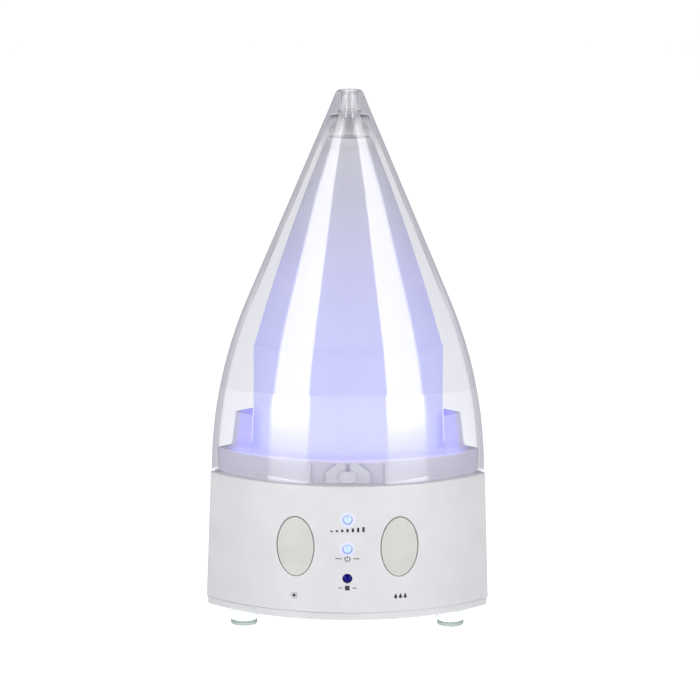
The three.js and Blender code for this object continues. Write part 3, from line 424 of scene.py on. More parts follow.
class Paint:
    """A node material that starts as one Principled shader."""

    def __init__(self, name, colour, roughness, **sockets):
        self.material = bpy.data.materials.new(name)
        self.material.use_nodes = True
        self.tree = self.material.node_tree
        self.shader = self.tree.nodes["Principled BSDF"]
        self.output = self.tree.nodes["Material Output"]
        self.set("Base Color", (*colour, 1))
        self.set("Roughness", roughness)
        for socket, value in sockets.items():
            self.set(socket.replace("_", " ").title().replace("Ior", "IOR"), value)

    def set(self, socket, value):
        self.shader.inputs[socket].default_value = value

    def node(self, kind, **settings):
        made = self.tree.nodes.new(kind)
        for key, value in settings.items():
            if key in made.inputs and not hasattr(made, key):
                made.inputs[key].default_value = value
            else:
                setattr(made, key, value)
        return made

    def link(self, source, target):
        self.tree.links.new(source, target)

    def place(self):
        """Object coordinates, which are metres in the shared frame."""
        return self.node("ShaderNodeTexCoord").outputs["Object"]

    def noise(self, scale, detail=3, stretch=None):
        texture = self.node("ShaderNodeTexNoise", Scale=scale, Detail=detail)
        place = self.place()
        if stretch:
            mapping = self.node("ShaderNodeMapping")
            mapping.inputs["Scale"].default_value = stretch
            self.link(place, mapping.inputs["Vector"])
            place = mapping.outputs["Vector"]
        self.link(place, texture.inputs["Vector"])
        return texture.outputs["Fac"]

    def ramp(self, value, stops):
        """Stops are (position, rgb)."""
        ramp = self.node("ShaderNodeValToRGB")
        elements = ramp.color_ramp.elements
        while len(elements) < len(stops):
            elements.new(0.5)
        for element, (position, colour) in zip(elements, stops):
            element.position = position
            element.color = (*colour, 1)
        self.link(value, ramp.inputs["Fac"])
        return ramp.outputs["Color"]

    def mottle(self, first, second, scale, stretch=None):
        """Base colour that drifts between two near tones."""
        noise = self.noise(scale, 4, stretch)
        self.link(self.ramp(noise, [(0.35, first), (0.65, second)]), self.shader.inputs["Base Color"])
        return self

    def sheen_of(self, low, high, scale, stretch=None):
        """Roughness that drifts between two values."""
        spread_over = self.node("ShaderNodeMapRange", clamp=True)
        spread_over.inputs["To Min"].default_value = low
        spread_over.inputs["To Max"].default_value = high
        self.link(self.noise(scale, 3, stretch), spread_over.inputs["Value"])
        self.link(spread_over.outputs["Result"], self.shader.inputs["Roughness"])
        return self

    def grain(self, scale, height, stretch=None):
        """Fine bump of the given height in metres."""
        bump = self.node("ShaderNodeBump")
        bump.inputs["Distance"].default_value = height
        self.link(self.noise(scale, 2, stretch), bump.inputs["Height"])
        self.link(bump.outputs["Normal"], self.shader.inputs["Normal"])
        return self

    def sum_of(self, operation, *terms):
        """The outcome of one sum, from outputs or numbers."""
        made = self.node("ShaderNodeMath", operation=operation)
        for term, socket in zip(terms, made.inputs):
            if isinstance(term, (int, float)):
                socket.default_value = term
            else:
                self.link(term, socket)
        return made.outputs[0]

    def step(self, value, start, stop, rise="SMOOTHSTEP"):
        """Rises from 0 to 1 between start and stop."""
        made = self.node("ShaderNodeMapRange", clamp=True, interpolation_type=rise)
        made.inputs["From Min"].default_value = start
        made.inputs["From Max"].default_value = stop
        self.link(value, made.inputs["Value"])
        return made.outputs["Result"]

    def along(self, axis):
        """The place along X, Y or Z."""
        split = self.node("ShaderNodeSeparateXYZ")
        self.link(self.place(), split.inputs["Vector"])
        return split.outputs[axis]

    def height_ramp(self, box, stops):
        """Colours from the foot of a box to its top."""
        return self.ramp(self.step(self.along("Z"), box[0].z, box[1].z, "LINEAR"), stops)

    def attribute(self, name):
        return self.node("ShaderNodeAttribute", attribute_name=name).outputs["Fac"]

    def glow(self, colours, strength):
        self.link(colours, self.shader.inputs["Emission Color"])
        self.set("Emission Strength", strength)
        return self

    def see_through(self, tint, share):
        """Mixes in a share of plain transparency."""
        clear = self.node("ShaderNodeBsdfTransparent")
        clear.inputs["Color"].default_value = (*tint, 1)
        mix = self.node("ShaderNodeMixShader")
        mix.inputs["Fac"].default_value = share
        self.link(self.shader.outputs["BSDF"], mix.inputs[1])
        self.link(clear.outputs["BSDF"], mix.inputs[2])
        self.link(mix.outputs["Shader"], self.output.inputs["Surface"])
        return self


def clear_plastic(name, thin, thick, glance_stops, mirror):
    """Polished clear plastic, tinted more where it is thick and where it is seen at a slant, with a
    painted glow where lit_edge is set.
    """
    paint = Paint(name, thin, 0.0)
    paint.tree.nodes.remove(paint.shader)
    tint = paint.node("ShaderNodeMix", data_type="RGBA")
    thickness = paint.attribute("thickness")
    paint.link(thickness, tint.inputs["Factor"])
    tint.inputs["A"].default_value = (*thin, 1)
    tint.inputs["B"].default_value = (*thick, 1)
    glance = paint.node("ShaderNodeLayerWeight", Blend=0.5).outputs["Facing"]
    tinted = paint.node("ShaderNodeMix", data_type="RGBA", blend_type="MULTIPLY")
    tinted.inputs["Factor"].default_value = 1.0
    paint.link(tint.outputs["Result"], tinted.inputs["A"])
    paint.link(paint.ramp(glance, glance_stops), tinted.inputs["B"])
    clear = paint.node("ShaderNodeBsdfTransparent")
    paint.link(tinted.outputs["Result"], clear.inputs["Color"])
    shine = paint.node("ShaderNodeBsdfGlossy", Roughness=0.0)
    steep = paint.sum_of("POWER", glance, 5)
    dull = paint.sum_of("MULTIPLY_ADD", thickness, -THICK_DULLS * mirror, mirror)
    mix = paint.node("ShaderNodeMixShader")
    paint.link(paint.sum_of("MULTIPLY_ADD", steep, 1 - mirror, dull), mix.inputs["Fac"])
    paint.link(clear.outputs["BSDF"], mix.inputs[1])
    paint.link(shine.outputs["BSDF"], mix.inputs[2])
    # painted glow: a pale emission, as strong as the lit_edge attribute, added on top of the clear
    # plastic
    painted_edge_glow = paint.node("ShaderNodeEmission", Color=(0.95, 0.95, 1.0, 1))
    paint.link(paint.attribute("lit_edge"), painted_edge_glow.inputs["Strength"])
    both = paint.node("ShaderNodeAddShader")
    paint.link(mix.outputs["Shader"], both.inputs[0])
    paint.link(painted_edge_glow.outputs["Emission"], both.inputs[1])
    paint.link(both.outputs["Shader"], paint.output.inputs["Surface"])
    return paint.material


def white_plastic():
    """Satin white, with a faint painted glow round each lit lamp."""
    paint = Paint("white_plastic", linear(214, 214, 218), 0.35, ior=1.5)
    paint.mottle(linear(194, 194, 197), linear(198, 198, 201), 60)
    paint.sheen_of(0.3, 0.42, 400)
    halos = []
    for lamp_node in ("mist_level_lamp", "power_lamp"):
        low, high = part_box(lamp_node)
        away = paint.node("ShaderNodeVectorMath", operation="DISTANCE")
        paint.link(paint.place(), away.inputs[0])
        away.inputs[1].default_value = ((low.x + high.x) / 2, low.y, (low.z + high.z) / 2)
        halos.append(paint.step(away.outputs["Value"], HALO_RADIUS, LAMP_RADIUS))
    total = paint.sum_of("ADD", *halos)
    # painted glow: a faint blue emission on the casing that fades out from each lit lamp
    paint.glow(paint.ramp(total, [(0.0, (0, 0, 0)), (1.0, (0.04, 0.08, 0.3))]), 1.0)
    return paint.grain(9000, 0.000004).material


def button_plastic():
    paint = Paint("button_plastic", linear(190, 191, 186), 0.3, ior=1.5)
    paint.mottle(linear(181, 182, 177), linear(186, 187, 182), 90)
    paint.sheen_of(0.24, 0.34, 500)
    return paint.grain(12000, 0.000003).material


def frosted_glow():
    """Frosted plastic with a painted glow for the light of the lamps below it, blue-violet below to grey
    above.
    """
    paint = Paint("frosted_dome", linear(160, 160, 168), 0.5, ior=1.5)
    paint.mottle(linear(158, 158, 166), linear(163, 163, 171), 40)
    stops = [
        (0.0, (0.30, 0.32, 0.62)),
        (0.3, (0.29, 0.30, 0.66)),
        (0.55, (0.28, 0.28, 0.56)),
        (0.8, (0.24, 0.24, 0.34)),
        (0.97, (0.22, 0.22, 0.24)),
        # painted light: the top face is made brighter than the grey below it
        (1.0, (0.4, 0.4, 0.4)),
    ]
    paint.glow(paint.height_ramp(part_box("inner_dome"), stops), 1.0)
    return paint.grain(5000, 0.000008).material


def tray_plastic():
    """Translucent plastic with a painted blue-violet glow inwards of its ends from the flange upwards."""
    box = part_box("water_tray")
    paint = Paint("tray_plastic", linear(196, 193, 202), 0.15, ior=1.5)
    paint.mottle(linear(208, 205, 213), linear(214, 211, 219), 50)
    flange = (FLANGE_TOP - box[0].z) / (box[1].z - box[0].z)
    # painted glow: faint below the flange, a bright band at the flange top, blue up the ears
    stops = [
        (0.0, (0.03, 0.03, 0.04)),
        (flange - 0.03, (0.05, 0.05, 0.08)),
        (flange - 0.005, (0.33, 0.33, 0.78)),
        (flange + 0.04, (0.04, 0.04, 0.5)),
        (1.0, (0.03, 0.03, 0.44)),
    ]
    glow = paint.height_ramp(box, stops)
    # the painted glow is left out at the thick ends of the ears and beyond them
    outwards = paint.sum_of("ABSOLUTE", paint.along("X"))
    beyond = paint.step(outwards, EAR_FOOT - 0.003, EAR_FOOT + 0.003, "LINEAR")
    unlit = paint.sum_of("MAXIMUM", paint.attribute("thickness"), beyond)
    dimmed = paint.node("ShaderNodeMix", data_type="RGBA")
    paint.link(unlit, dimmed.inputs["Factor"])
    paint.link(glow, dimmed.inputs["A"])
    dimmed.inputs["B"].default_value = (0.03, 0.03, 0.06, 1)
    paint.glow(dimmed.outputs["Result"], 1.0)
    return paint.see_through((0.88, 0.88, 0.98), 0.3).material


def catch_plastic():
    paint = Paint("catch_plastic", linear(200, 200, 206), 0.12, ior=1.5)
    paint.mottle(linear(212, 212, 219), linear(219, 219, 225), 90)
    # painted glow: a faint even emission that brightens the catch
    paint.glow(paint.ramp(paint.noise(60), [(0.3, (0.05, 0.05, 0.06)), (0.7, (0.06, 0.06, 0.07))]), 1.0)
    return paint.see_through((0.92, 0.92, 0.96), 0.35).material


def foot_plastic():
    paint = Paint("foot_plastic", linear(236, 246, 246), 0.3, ior=1.5)
    paint.mottle(linear(232, 245, 246), linear(240, 249, 249), 120)
    # painted glow: a pale cyan emission that brightens the feet
    paint.glow(paint.ramp(paint.noise(80), [(0.3, (0.24, 0.29, 0.3)), (0.7, (0.27, 0.32, 0.33))]), 0.7)
    return paint.see_through((0.95, 1.0, 1.0), 0.2).material


def rubber(name, colour, darker):
    paint = Paint(name, colour, 0.75)
    paint.mottle(darker, colour, 300)
    return paint.grain(6000, 0.00002).material


def plain_plastic(name, colour, other, roughness):
    paint = Paint(name, colour, roughness, ior=1.5)
    paint.mottle(colour, other, 200)
    paint.sheen_of(roughness - 0.06, roughness + 0.08, 900)
    return paint.grain(7000, 0.00001).material


def circuit_board():
    paint = Paint("circuit_board", linear(24, 84, 46), 0.35)
    cells = paint.node("ShaderNodeTexBrick", Scale=400.0)
    cells.inputs["Color1"].default_value = (*linear(22, 78, 42), 1)
    cells.inputs["Color2"].default_value = (*linear(28, 92, 52), 1)
    cells.inputs["Mortar"].default_value = (*linear(60, 120, 70), 1)
    cells.inputs["Mortar Size"].default_value = 0.03
    paint.link(paint.place(), cells.inputs["Vector"])
    paint.link(cells.outputs["Color"], paint.shader.inputs["Base Color"])
    return paint.grain(3000, 0.00001).material


def metal(name, colour, roughness, stretch=None):
    paint = Paint(name, colour, roughness, metallic=1.0)
    paint.mottle(colour, tuple(0.88 * c for c in colour), 250, stretch)
    paint.sheen_of(roughness - 0.08, roughness + 0.1, 600, stretch)
    return paint.grain(4000, 0.000006, stretch).material


def lit_lens(name, colour, glow, strength):
    paint = Paint(name, colour, 0.08, ior=1.5, coat_weight=0.6, coat_roughness=0.03)
    paint.mottle(colour, tuple(min(1, 1.06 * c) for c in colour), 700)
    dim = tuple(0.85 * g for g in glow)
    return paint.glow(paint.ramp(paint.noise(900), [(0.3, dim), (0.7, glow)]), strength).material


def dark_lens():
    paint = Paint("dark_lens", linear(10, 0, 130), 0.12, ior=1.25)
    paint.mottle(linear(4, 0, 100), linear(8, 0, 112), 700)
    return paint.material


COVER_GLANCE = [
    (0.0, (1, 1, 1)),
    (0.55, (0.97, 0.97, 0.98)),
    (0.88, (0.78, 0.77, 0.82)),
    (1.0, (0.42, 0.41, 0.47)),
]
NOZZLE_GLANCE = [(0.0, (1, 1, 1)), (0.8, (0.98, 0.98, 0.98)), (1.0, (0.9, 0.9, 0.91))]
PAINTS = {
    "white": white_plastic(),
    "button": button_plastic(),
    "cover": clear_plastic("clear_cover", (0.96, 0.96, 0.965), (0.7, 0.69, 0.72), COVER_GLANCE, 0.055),
    "nozzle": clear_plastic("clear_nozzle", (0.95, 0.95, 0.955), (0.9, 0.9, 0.91), NOZZLE_GLANCE, 0.045),
    "tray": tray_plastic(),
    "frosted": frosted_glow(),
    "baffle": plain_plastic("baffle_plastic", linear(205, 205, 240), linear(198, 198, 236), 0.5),
    "catch": catch_plastic(),
    "foot": foot_plastic(),
    "rubber": rubber("soft_rubber", linear(170, 182, 178), linear(162, 174, 170)),
    "black": plain_plastic("black_plastic", linear(28, 28, 31), linear(34, 34, 37), 0.5),
    "inner_white": plain_plastic("inner_plastic", linear(214, 214, 214), linear(206, 206, 207), 0.45),
    "board": circuit_board(),
    "pale_lamp": lit_lens("pale_lamp", (0.28, 0.45, 0.64), (0.21, 0.2, 0.2), 1.0),
    "dark_lamp": dark_lens(),
    "ceramic": plain_plastic("piezo_ceramic", linear(214, 200, 168), linear(206, 191, 158), 0.3),
    "steel": metal("zinc_steel", (0.6, 0.61, 0.63), 0.3),
    "aluminium": metal("bare_aluminium", (0.8, 0.81, 0.82), 0.35, (1, 1, 12)),
}
BODY_OF = {n: body for body, members in frame["record"]["behaviour"]["bodies"].items() for n in members}
SLOT_OF = {row["node"]: row["material_slot"] for row in frame["record"]["subparts"]}


def dress(made, slot):
    made.data.materials.clear()
    made.data.materials.append(PAINTS[slot])


def stand_in(made, node):
    """The piece takes the place, body and finish of one CAD node."""
    dress(made, SLOT_OF[node])
    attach(made, BODY_OF[node])
    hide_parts(node)
    return made


def extra(made, body, slot):
    dress(made, slot)
    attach(made, body)
    return made


# ------------------------------------------------------------------ base
BASE_LOW, BASE_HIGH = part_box("base_shell")


def base_lens(z):
    rise = (z - BASE_LOW.z) / (BASE_HIGH.z - BASE_LOW.z)
    half_width = BASE_HIGH.x - BASE_TAPER * rise
    return lens_of(half_width, PLAN_RATIO)


def base_shell():
    edge, foot_edge, deck = BASE_EDGE, BASE_FOOT_EDGE, DECK_THICKNESS
    seal_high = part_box("tray_seal")[1]
    hole = Lens(seal_high.x, seal_high.y).inset(-GAP)
    z0, z1 = BASE_LOW.z, BASE_HIGH.z
    rings = [lens_ring(base_lens(z0).inset(foot_edge), BASE_CORNER, z0)]
    rings += [lens_ring(base_lens(z0 + foot_edge), BASE_CORNER, z0 + foot_edge)]
    for z in spread(z0 + 0.002, z1 - edge, 16):
        rings.append(lens_ring(base_lens(z), BASE_CORNER, z))
    for inwards, upwards in fillet(edge)[1:]:
        z = z1 - edge + upwards
        rings.append(lens_ring(base_lens(z).inset(inwards), BASE_CORNER, z))
    rings += [lens_ring(hole, INNER_CORNER, z) for z in (z1, z1 - deck)]
    rings += [lens_ring(base_lens(z).inset(BASE_WALL), INNER_CORNER, z) for z in (z1 - deck, z0)]
    shell = lofted("base_casing", rings, closed=True)
    tools = []
    for node in ("light_button", "mist_button"):
        low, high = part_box(node)
        size = [(high[axis] - low[axis]) / 2 - BUTTON_FLANGE + BUTTON_GAP for axis in (0, 2)]
        tools.append(hole_tool(middle_of(node), *size))
    for node in ("mist_level_lamp", "power_lamp", "stop_lamp"):
        radius = LAMP_RADIUS + LAMP_GAP
        tools.append(hole_tool(middle_of(node), radius, radius, steps=48))
    tools.append(hole_tool(middle_of("power_inlet"), INLET_RADIUS, INLET_RADIUS, 1, steps=48))
    return smooth(carved(shell, *tools), 35)


def middle_of(node):
    low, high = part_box(node)
    return (low.x + high.x) / 2, (low.z + high.z) / 2


def base_depth(x, z):
    return ring_depth(base_lens(z), BASE_CORNER, x)


stand_in(base_shell(), "base_shell")


def base_plate():
    low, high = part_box("base_plate")
    plan = Lens(high.x, high.y)
    top = BASE_LOW.z - PLATE_GAP
    edge = PLATE_EDGE
    floor = low.z + PLATE_THICKNESS
    rings = []
    for inwards, upwards in reversed(fillet(edge, 6)):
        rings.append(lens_ring(plan.inset(inwards), BASE_CORNER, low.z + edge - upwards))
    for z in spread(low.z + edge + 0.0004, top - PLATE_RIM, 3):
        rings.append(lens_ring(plan, BASE_CORNER, z))
    rings.append(lens_ring(plan.inset(PLATE_RIM), BASE_CORNER, top))
    rings += [lens_ring(plan.inset(BASE_WALL), INNER_CORNER, z) for z in (top, floor)]
    plate = lofted("base_tray", rings)
    tools = []
    fan_low, fan_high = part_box("fan_frame")
    middle = (fan_low.x + fan_high.x) / 2
    for slot in range(SLOT_COUNT):
        x = middle + (slot - SLOT_COUNT // 2) * SLOT_PITCH
        tools.append(prism(slot_outline(x), low.z - OVERRUN, floor + OVERRUN))
    for name in ("left", "right", "front", "rear"):
        node_low, node_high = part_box("base_screw_" + name)
        x, y = (node_low.x + node_high.x) / 2, (node_low.y + node_high.y) / 2
        tools.append(rod(SCREW_SEAT_RADIUS, low.z - OVERRUN, low.z + SCREW_SEAT_DEPTH, x, y, 40))
        tools.append(rod(SCREW_HOLE_RADIUS, low.z + OVERRUN, floor + OVERRUN, x, y, 32))
    carved(plate, *tools)
    bevelled(plate, PLATE_RIM, 40)
    return smooth(applied(plate), 35)


def slot_outline(x):
    """A round-ended slot along Y."""
    outline = []
    for step in range(13):
        angle = math.pi * step / 12
        y = SLOT_HALF_LENGTH - SLOT_HALF_WIDTH + SLOT_HALF_WIDTH * math.sin(angle)
        outline.append((x + SLOT_HALF_WIDTH * math.cos(angle), y))
    return outline + [(2 * x - px, -py) for px, py in outline]


stand_in(base_plate(), "base_plate")


def foot_and_pad(place):
    low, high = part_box("foot_" + place)
    x, y = (low.x + high.x) / 2, (low.y + high.y) / 2
    radius = (high.x - low.x) / 2
    shoulder, edge = FOOT_SHOULDER, FOOT_EDGE
    profile = [(SPECK, low.z), (radius - edge, low.z)]
    profile += [(radius - inwards, low.z + edge - upwards) for inwards, upwards in reversed(fillet(edge))]
    profile += [(radius, z) for z in spread(low.z + 0.001, shoulder - edge, 3)]
    profile += [(radius - inwards, shoulder - edge + upwards) for inwards, upwards in fillet(edge)]
    profile += [(FOOT_PEG_RADIUS, shoulder), (FOOT_PEG_RADIUS, high.z), (SPECK, high.z)]
    stand_in(turned("foot_body_" + place, profile, (x, y, 0), 72), "foot_" + place)
    low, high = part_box("foot_pad_" + place)
    radius = (high.x - low.x) / 2
    edge = PAD_EDGE
    profile = [(SPECK, 0.0), (radius - edge, 0.0)]
    profile += [(radius - inwards, edge - upwards) for inwards, upwards in reversed(fillet(edge))]
    profile += [(radius - inwards, high.z - edge + upwards) for inwards, upwards in fillet(edge)]
    profile += [(SPECK, high.z)]
    stand_in(turned("foot_rubber_" + place, profile, (x, y, 0), 72), "foot_pad_" + place)


for place in ("front_left", "front_right", "rear_left", "rear_right"):
    foot_and_pad(place)


# ------------------------------------------------------------------ buttons and lamps
def button(name, node):
    low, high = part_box(node)
    x0, z0 = (low.x + high.x) / 2, (low.z + high.z) / 2
    half_width = (high.x - low.x) / 2 - BUTTON_FLANGE
    half_height = (high.z - low.z) / 2 - BUTTON_FLANGE
    rim = 1 + BUTTON_FLANGE / half_width
    front, back = -BASE_WALL - BUTTON_GAP, -BUTTON_THICKNESS - BUTTON_GAP
    layers = [(share, BUTTON_PROUD) for share in spread(0.02, 0.9, 10)]
    for inwards, upwards in reversed(fillet(BUTTON_EDGE)):
        layers.append((1 - inwards / half_width, BUTTON_PROUD - BUTTON_EDGE + upwards))
    layers += [(1.0, front), (rim, front), (rim, back), (0.2, back)]
    rings = []
    for share, proud in layers:
        reach_x, reach_z = half_width * share, half_height * share
        if share > BUTTON_RIM:  # the rim keeps its width all round
            reach_z = half_height + (share - 1) * half_width
        ring = []
        for step in range(96):
            angle = 2 * math.pi * step / 96
            x = x0 + reach_x * math.cos(angle)
            z = z0 + reach_z * math.sin(angle)
            ring.append(Vector((x, -base_depth(x, z) - proud, z)))
        rings.append(ring)
    shape = bmesh.new()
    add_loft(shape, rings)
    stem_start = -base_depth(x0, z0) + BUTTON_THICKNESS
    stem_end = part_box(node.replace("button", "switch"))[0].y - BUTTON_TRAVEL - GAP
    stem = [(STEM_RADIUS, stem_start), (STEM_RADIUS, stem_end)]
    add_turned(shape, stem, (x0, 0, z0), True, 32)
    return stand_in(smooth(new_object(name, shape), 40), node)


button("light_button_cap", "light_button")
button("mist_button_cap", "mist_button")


def lamp(name, node):
    low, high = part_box(node)
    z = (low.z + high.z) / 2
    front = low.y
    dome = [(LAMP_RADIUS * math.sin(angle), front + 0.5 * LAMP_RADIUS * (1 - math.cos(angle)))
            for angle in spread(0.03, math.pi / 2, 10)]
    body = [(LAMP_RADIUS, front + y) for y in spread(0.003, LAMP_LENGTH, 3)]
    back = front + LAMP_LENGTH + LAMP_FLANGE
    flange = [(LAMP_FLANGE_RADIUS, front + LAMP_LENGTH), (LAMP_FLANGE_RADIUS, back), (SPECK, back)]
    leg = [(LAMP_LEG_RADIUS, back - 0.0002), (LAMP_LEG_RADIUS, high.y)]
    shape = bmesh.new()
    add_turned(shape, dome + body + flange, (0, 0, z), True, 48)
    for x in (-LAMP_LEG_X, LAMP_LEG_X):
        add_turned(shape, leg, (x, 0, z), True, 8)
    return stand_in(smooth(new_object(name, shape), 40), node)


for row in ("mist_level_lamp", "power_lamp", "stop_lamp"):
    lamp(row + "_lens", row)


# ------------------------------------------------------------------ plain symbols printed on the front
def symbol(name, outlines):
    """Flat shapes of (x, z) outlines in metres, printed on the front wall."""
    shape = bmesh.new()
    for outline in outlines:
        rings = []
        for proud in (-INK_DEPTH, INK_PROUD):
            rings.append([Vector((x, -base_depth(x, z) - proud, z)) for x, z in outline])
        add_loft(shape, rings)
    return extra(new_object(name, shape), "base", "black")


def bar(x, z, width, height):
    left, right = x - width / 2, x + width / 2
    return [(left, z), (right, z), (right, z + height), (left, z + height)]


def round_points(x, z, radius, angles):
    return [(x + radius * math.cos(angle), z + radius * math.sin(angle)) for angle in angles]


def disc(x, z, radius):
    return round_points(x, z, radius, [2 * math.pi * step / 24 for step in range(24)])


def stroke(start, stop, width):
    """A straight line of the given width."""
    along = (Vector(stop) - Vector(start)).normalized()
    square = Vector((-along.y, along.x)) * width / 2
    corners = ((start, -1), (stop, -1), (stop, 1), (start, 1))
    return [tuple(Vector(point) + side * square) for point, side in corners]


def open_arc(x, z, radius, width, gap):
    """A ring left open at the top over the given angle."""
    angles = spread(math.pi / 2 + gap / 2, math.pi / 2 + 2 * math.pi - gap / 2, 28)
    outside = round_points(x, z, radius + width / 2, angles)
    inside = round_points(x, z, radius - width / 2, angles)
    return outside + list(reversed(inside))


def drop(x, z, radius, height):
    """A round drop with its point upwards."""
    angles = spread(math.radians(150), math.radians(390), 20)
    return round_points(x, z, radius, angles) + [(x, z + height)]


def level_symbol(x, z):
    """Slim bars that rise from low to high."""
    width, pitch, lowest, rise = 0.0013, 0.0029, 0.0008, 0.00035
    return [bar(x + (i - 3) * pitch, z, width, lowest + rise * i) for i in range(7)]


def power_symbol(x, z):
    return [open_arc(x, z, 0.0014, STROKE, math.radians(70)), bar(x, z + 0.0002, STROKE, 0.0017)]


def sun_symbol(x, z):
    core, ray_start, ray_stop = 0.0009, 0.0013, 0.0019
    rays = []
    for step in range(8):
        angle = math.radians(45 * step)
        out = Vector((math.cos(angle), math.sin(angle)))
        centre = Vector((x, z))
        rays.append(stroke(centre + out * ray_start, centre + out * ray_stop, STROKE))
    return [disc(x, z, core)] + rays


def below(node):
    """The height of a symbol's middle below a lamp."""
    return middle_of(node)[1] - SYMBOL_DROP


def dashes(z, inner, outer):
    """A short dash on each side of a symbol."""
    return [bar(side * (inner + outer) / 2, z - STROKE / 2, outer - inner, STROKE) for side in (-1, 1)]


symbol("level_mark", level_symbol(0, below("mist_level_lamp") - 0.0016))
symbol("power_mark", power_symbol(0, below("power_lamp")) + dashes(below("power_lamp"), 0.0032, 0.0066))
stop_z = below("stop_lamp")
symbol("stop_mark", [bar(0, stop_z - 0.0013, 0.0026, 0.0026)] + dashes(stop_z, 0.0028, 0.005))
symbol("light_mark", sun_symbol(-BUTTON_MARK_X, BUTTON_MARK_Z))
drop_places = [BUTTON_MARK_X + i * 0.0026 for i in (-1, 0, 1)]
symbol("mist_mark", [drop(x, BUTTON_MARK_Z - 0.0006, 0.0009, 0.0022) for x in drop_places])


# ------------------------------------------------------------------ tray
def water_tray():
    low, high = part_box("water_tray")
    plan = lens_of(high.x, TRAY_RATIO)
    z0, ear_top = BASE_HIGH.z + GAP, high.z
    foot = lens_of(EAR_FOOT, TRAY_RATIO)
    top = lens_of(EAR_FOOT - EAR_LEAN, TRAY_RATIO)
    basin = lens_of(BASIN_HALF_WIDTH, BASIN_RATIO)
    basin_low = lens_of(BASIN_HALF_WIDTH - BASIN_DRAFT, BASIN_RATIO)
    basin_floor = low.z + TRAY_WALL
    edge, rim = FLANGE_EDGE, EAR_RIM
    under = FLANGE_TOP - TRAY_WALL
    rings = [lens_ring(basin_low.inset(-TRAY_WALL), INNER_CORNER, low.z)]
    rings += [lens_ring(basin.inset(-TRAY_WALL), INNER_CORNER, under)]
    rings += [lens_ring(plan.inset(TRAY_WALL), INNER_CORNER, z) for z in (under, z0)]
    rings += [lens_ring(plan, COVER_CORNER, z) for z in spread(z0, FLANGE_TOP - edge, 4)]
    for inwards, upwards in fillet(edge)[1:]:
        rings.append(lens_ring(plan.inset(inwards), COVER_CORNER, FLANGE_TOP - edge + upwards))
    for outwards, upwards in reversed(fillet(edge)):
        rings.append(lens_ring(foot.inset(outwards - edge), COVER_CORNER, FLANGE_TOP + edge - upwards))
    for share in spread(0.1, 1.0, 6):
        ear = lens_of(EAR_FOOT - EAR_LEAN * share, TRAY_RATIO)
        z = FLANGE_TOP + edge + (ear_top - rim - FLANGE_TOP - edge) * share
        rings.append(lens_ring(ear, COVER_CORNER, z))
    for inwards, upwards in fillet(rim)[1:]:
        rings.append(lens_ring(top.inset(inwards), COVER_CORNER, ear_top - rim + upwards))
    rings += [lens_ring(top.inset(TRAY_WALL), INNER_CORNER, ear_top)]
    rings += [lens_ring(foot.inset(TRAY_WALL), INNER_CORNER, FLANGE_TOP)]
    rings += [lens_ring(basin, INNER_CORNER, FLANGE_TOP)]
    rings += [lens_ring(basin_low, INNER_CORNER, basin_floor)]
    tray = lofted("tray_shell", rings)
    recess_x, recess_y = RECESS_HALF_WIDTH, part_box("front_catch")[1].y + GAP
    backing_x, backing_y = recess_x + TRAY_WALL, recess_y + BACKING_THICKNESS
    cheek = plan.inset(RECESS_CHEEK).depth_at(backing_x)
    backing = block((-backing_x, -cheek, z0), (backing_x, backing_y, under))
    recess = block((-recess_x, -plan.s - OVERRUN, z0 - OVERRUN), (recess_x, recess_y, under))
    middle_rings = []
    for half, z in (
        (EAR_INSIDE, FLANGE_TOP),
        (EAR_INSIDE_TOP, ear_top),
        (EAR_INSIDE_TOP, ear_top + OVERRUN),
    ):
        outline = [(-half, -plan.s), (half, -plan.s), (half, plan.s), (-half, plan.s)]
        middle_rings.append([Vector((x, y, z)) for x, y in outline])
    middle = lofted("middle", middle_rings)
    float_low, float_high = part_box("float_ring")
    float_x = (float_low.x + float_high.x) / 2
    cap_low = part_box("float_cap")[0].z
    post = rod(POST_RADIUS, basin_floor - OVERRUN, cap_low - GAP, float_x, steps=40)
    port_top = FLANGE_TOP + PORT_RISE
    pipe = rod(PORT_RADIUS, low.z, port_top, PORT_X)
    bore = rod(PORT_RADIUS - PORT_WALL, low.z - OVERRUN, port_top + OVERRUN, PORT_X)
    window = rod(WINDOW_RADIUS, low.z - OVERRUN, basin_floor + OVERRUN)
    joined_on(tray, backing, post, pipe)
    carved(tray, recess, middle, bore, window)
    shelf_top = ear_top - SHELF_DROP
    inside = top.inset(TRAY_WALL / 2)
    shelves = []
    for side in (-1, 1):
        near, far = sorted((side * EAR_INSIDE, side * (EAR_INSIDE + SHELF_DEPTH)))
        near_half, far_half = inside.depth_at(near), inside.depth_at(far)
        outline = [(near, -near_half), (far, -far_half), (far, far_half), (near, near_half)]
        shelves.append(prism(outline, shelf_top - SHELF_THICKNESS, shelf_top))
    joined_on(tray, *shelves)

    # marks the thick ends of the ears, where the tray's painted glow is left out
    def thickness(point):
        if point.z < FLANGE_TOP + 0.0004:
            return 0.0
        share = (point.z - FLANGE_TOP) / (ear_top - FLANGE_TOP)
        return past(abs(point.x), EAR_FOOT - EAR_LEAN * share - 0.0027)

    return stand_in(marked(smooth(tray, 35), "thickness", thickness), "water_tray")


water_tray()


# ------------------------------------------------------------------ dome, nozzle and cover
MOUTH = lens_of(DOME_TOP_HALF_WIDTH, DOME_TOP_RATIO).inset(MOUTH_MARGIN)


def dome_lens(z, foot, shoulder, top):
    if z <= shoulder:
        flare = DOME_FLARE * max(0, 1 - (z - foot) / DOME_FLARE_HEIGHT)
        return lens_of(DOME_HALF_WIDTH + flare, DOME_RATIO)
    rise = (z - shoulder) / (top - shoulder)
    start = DOME_HALF_WIDTH - DOME_STEP
    straight = start + (DOME_TOP_HALF_WIDTH - start) * rise
    roundness = max(0, (rise - DOME_ROUND_FROM) / (1 - DOME_ROUND_FROM))
    ratio = DOME_RATIO + (DOME_TOP_RATIO - DOME_RATIO) * roundness
    return lens_of(straight + 4 * DOME_BULGE * rise * (1 - rise), ratio)


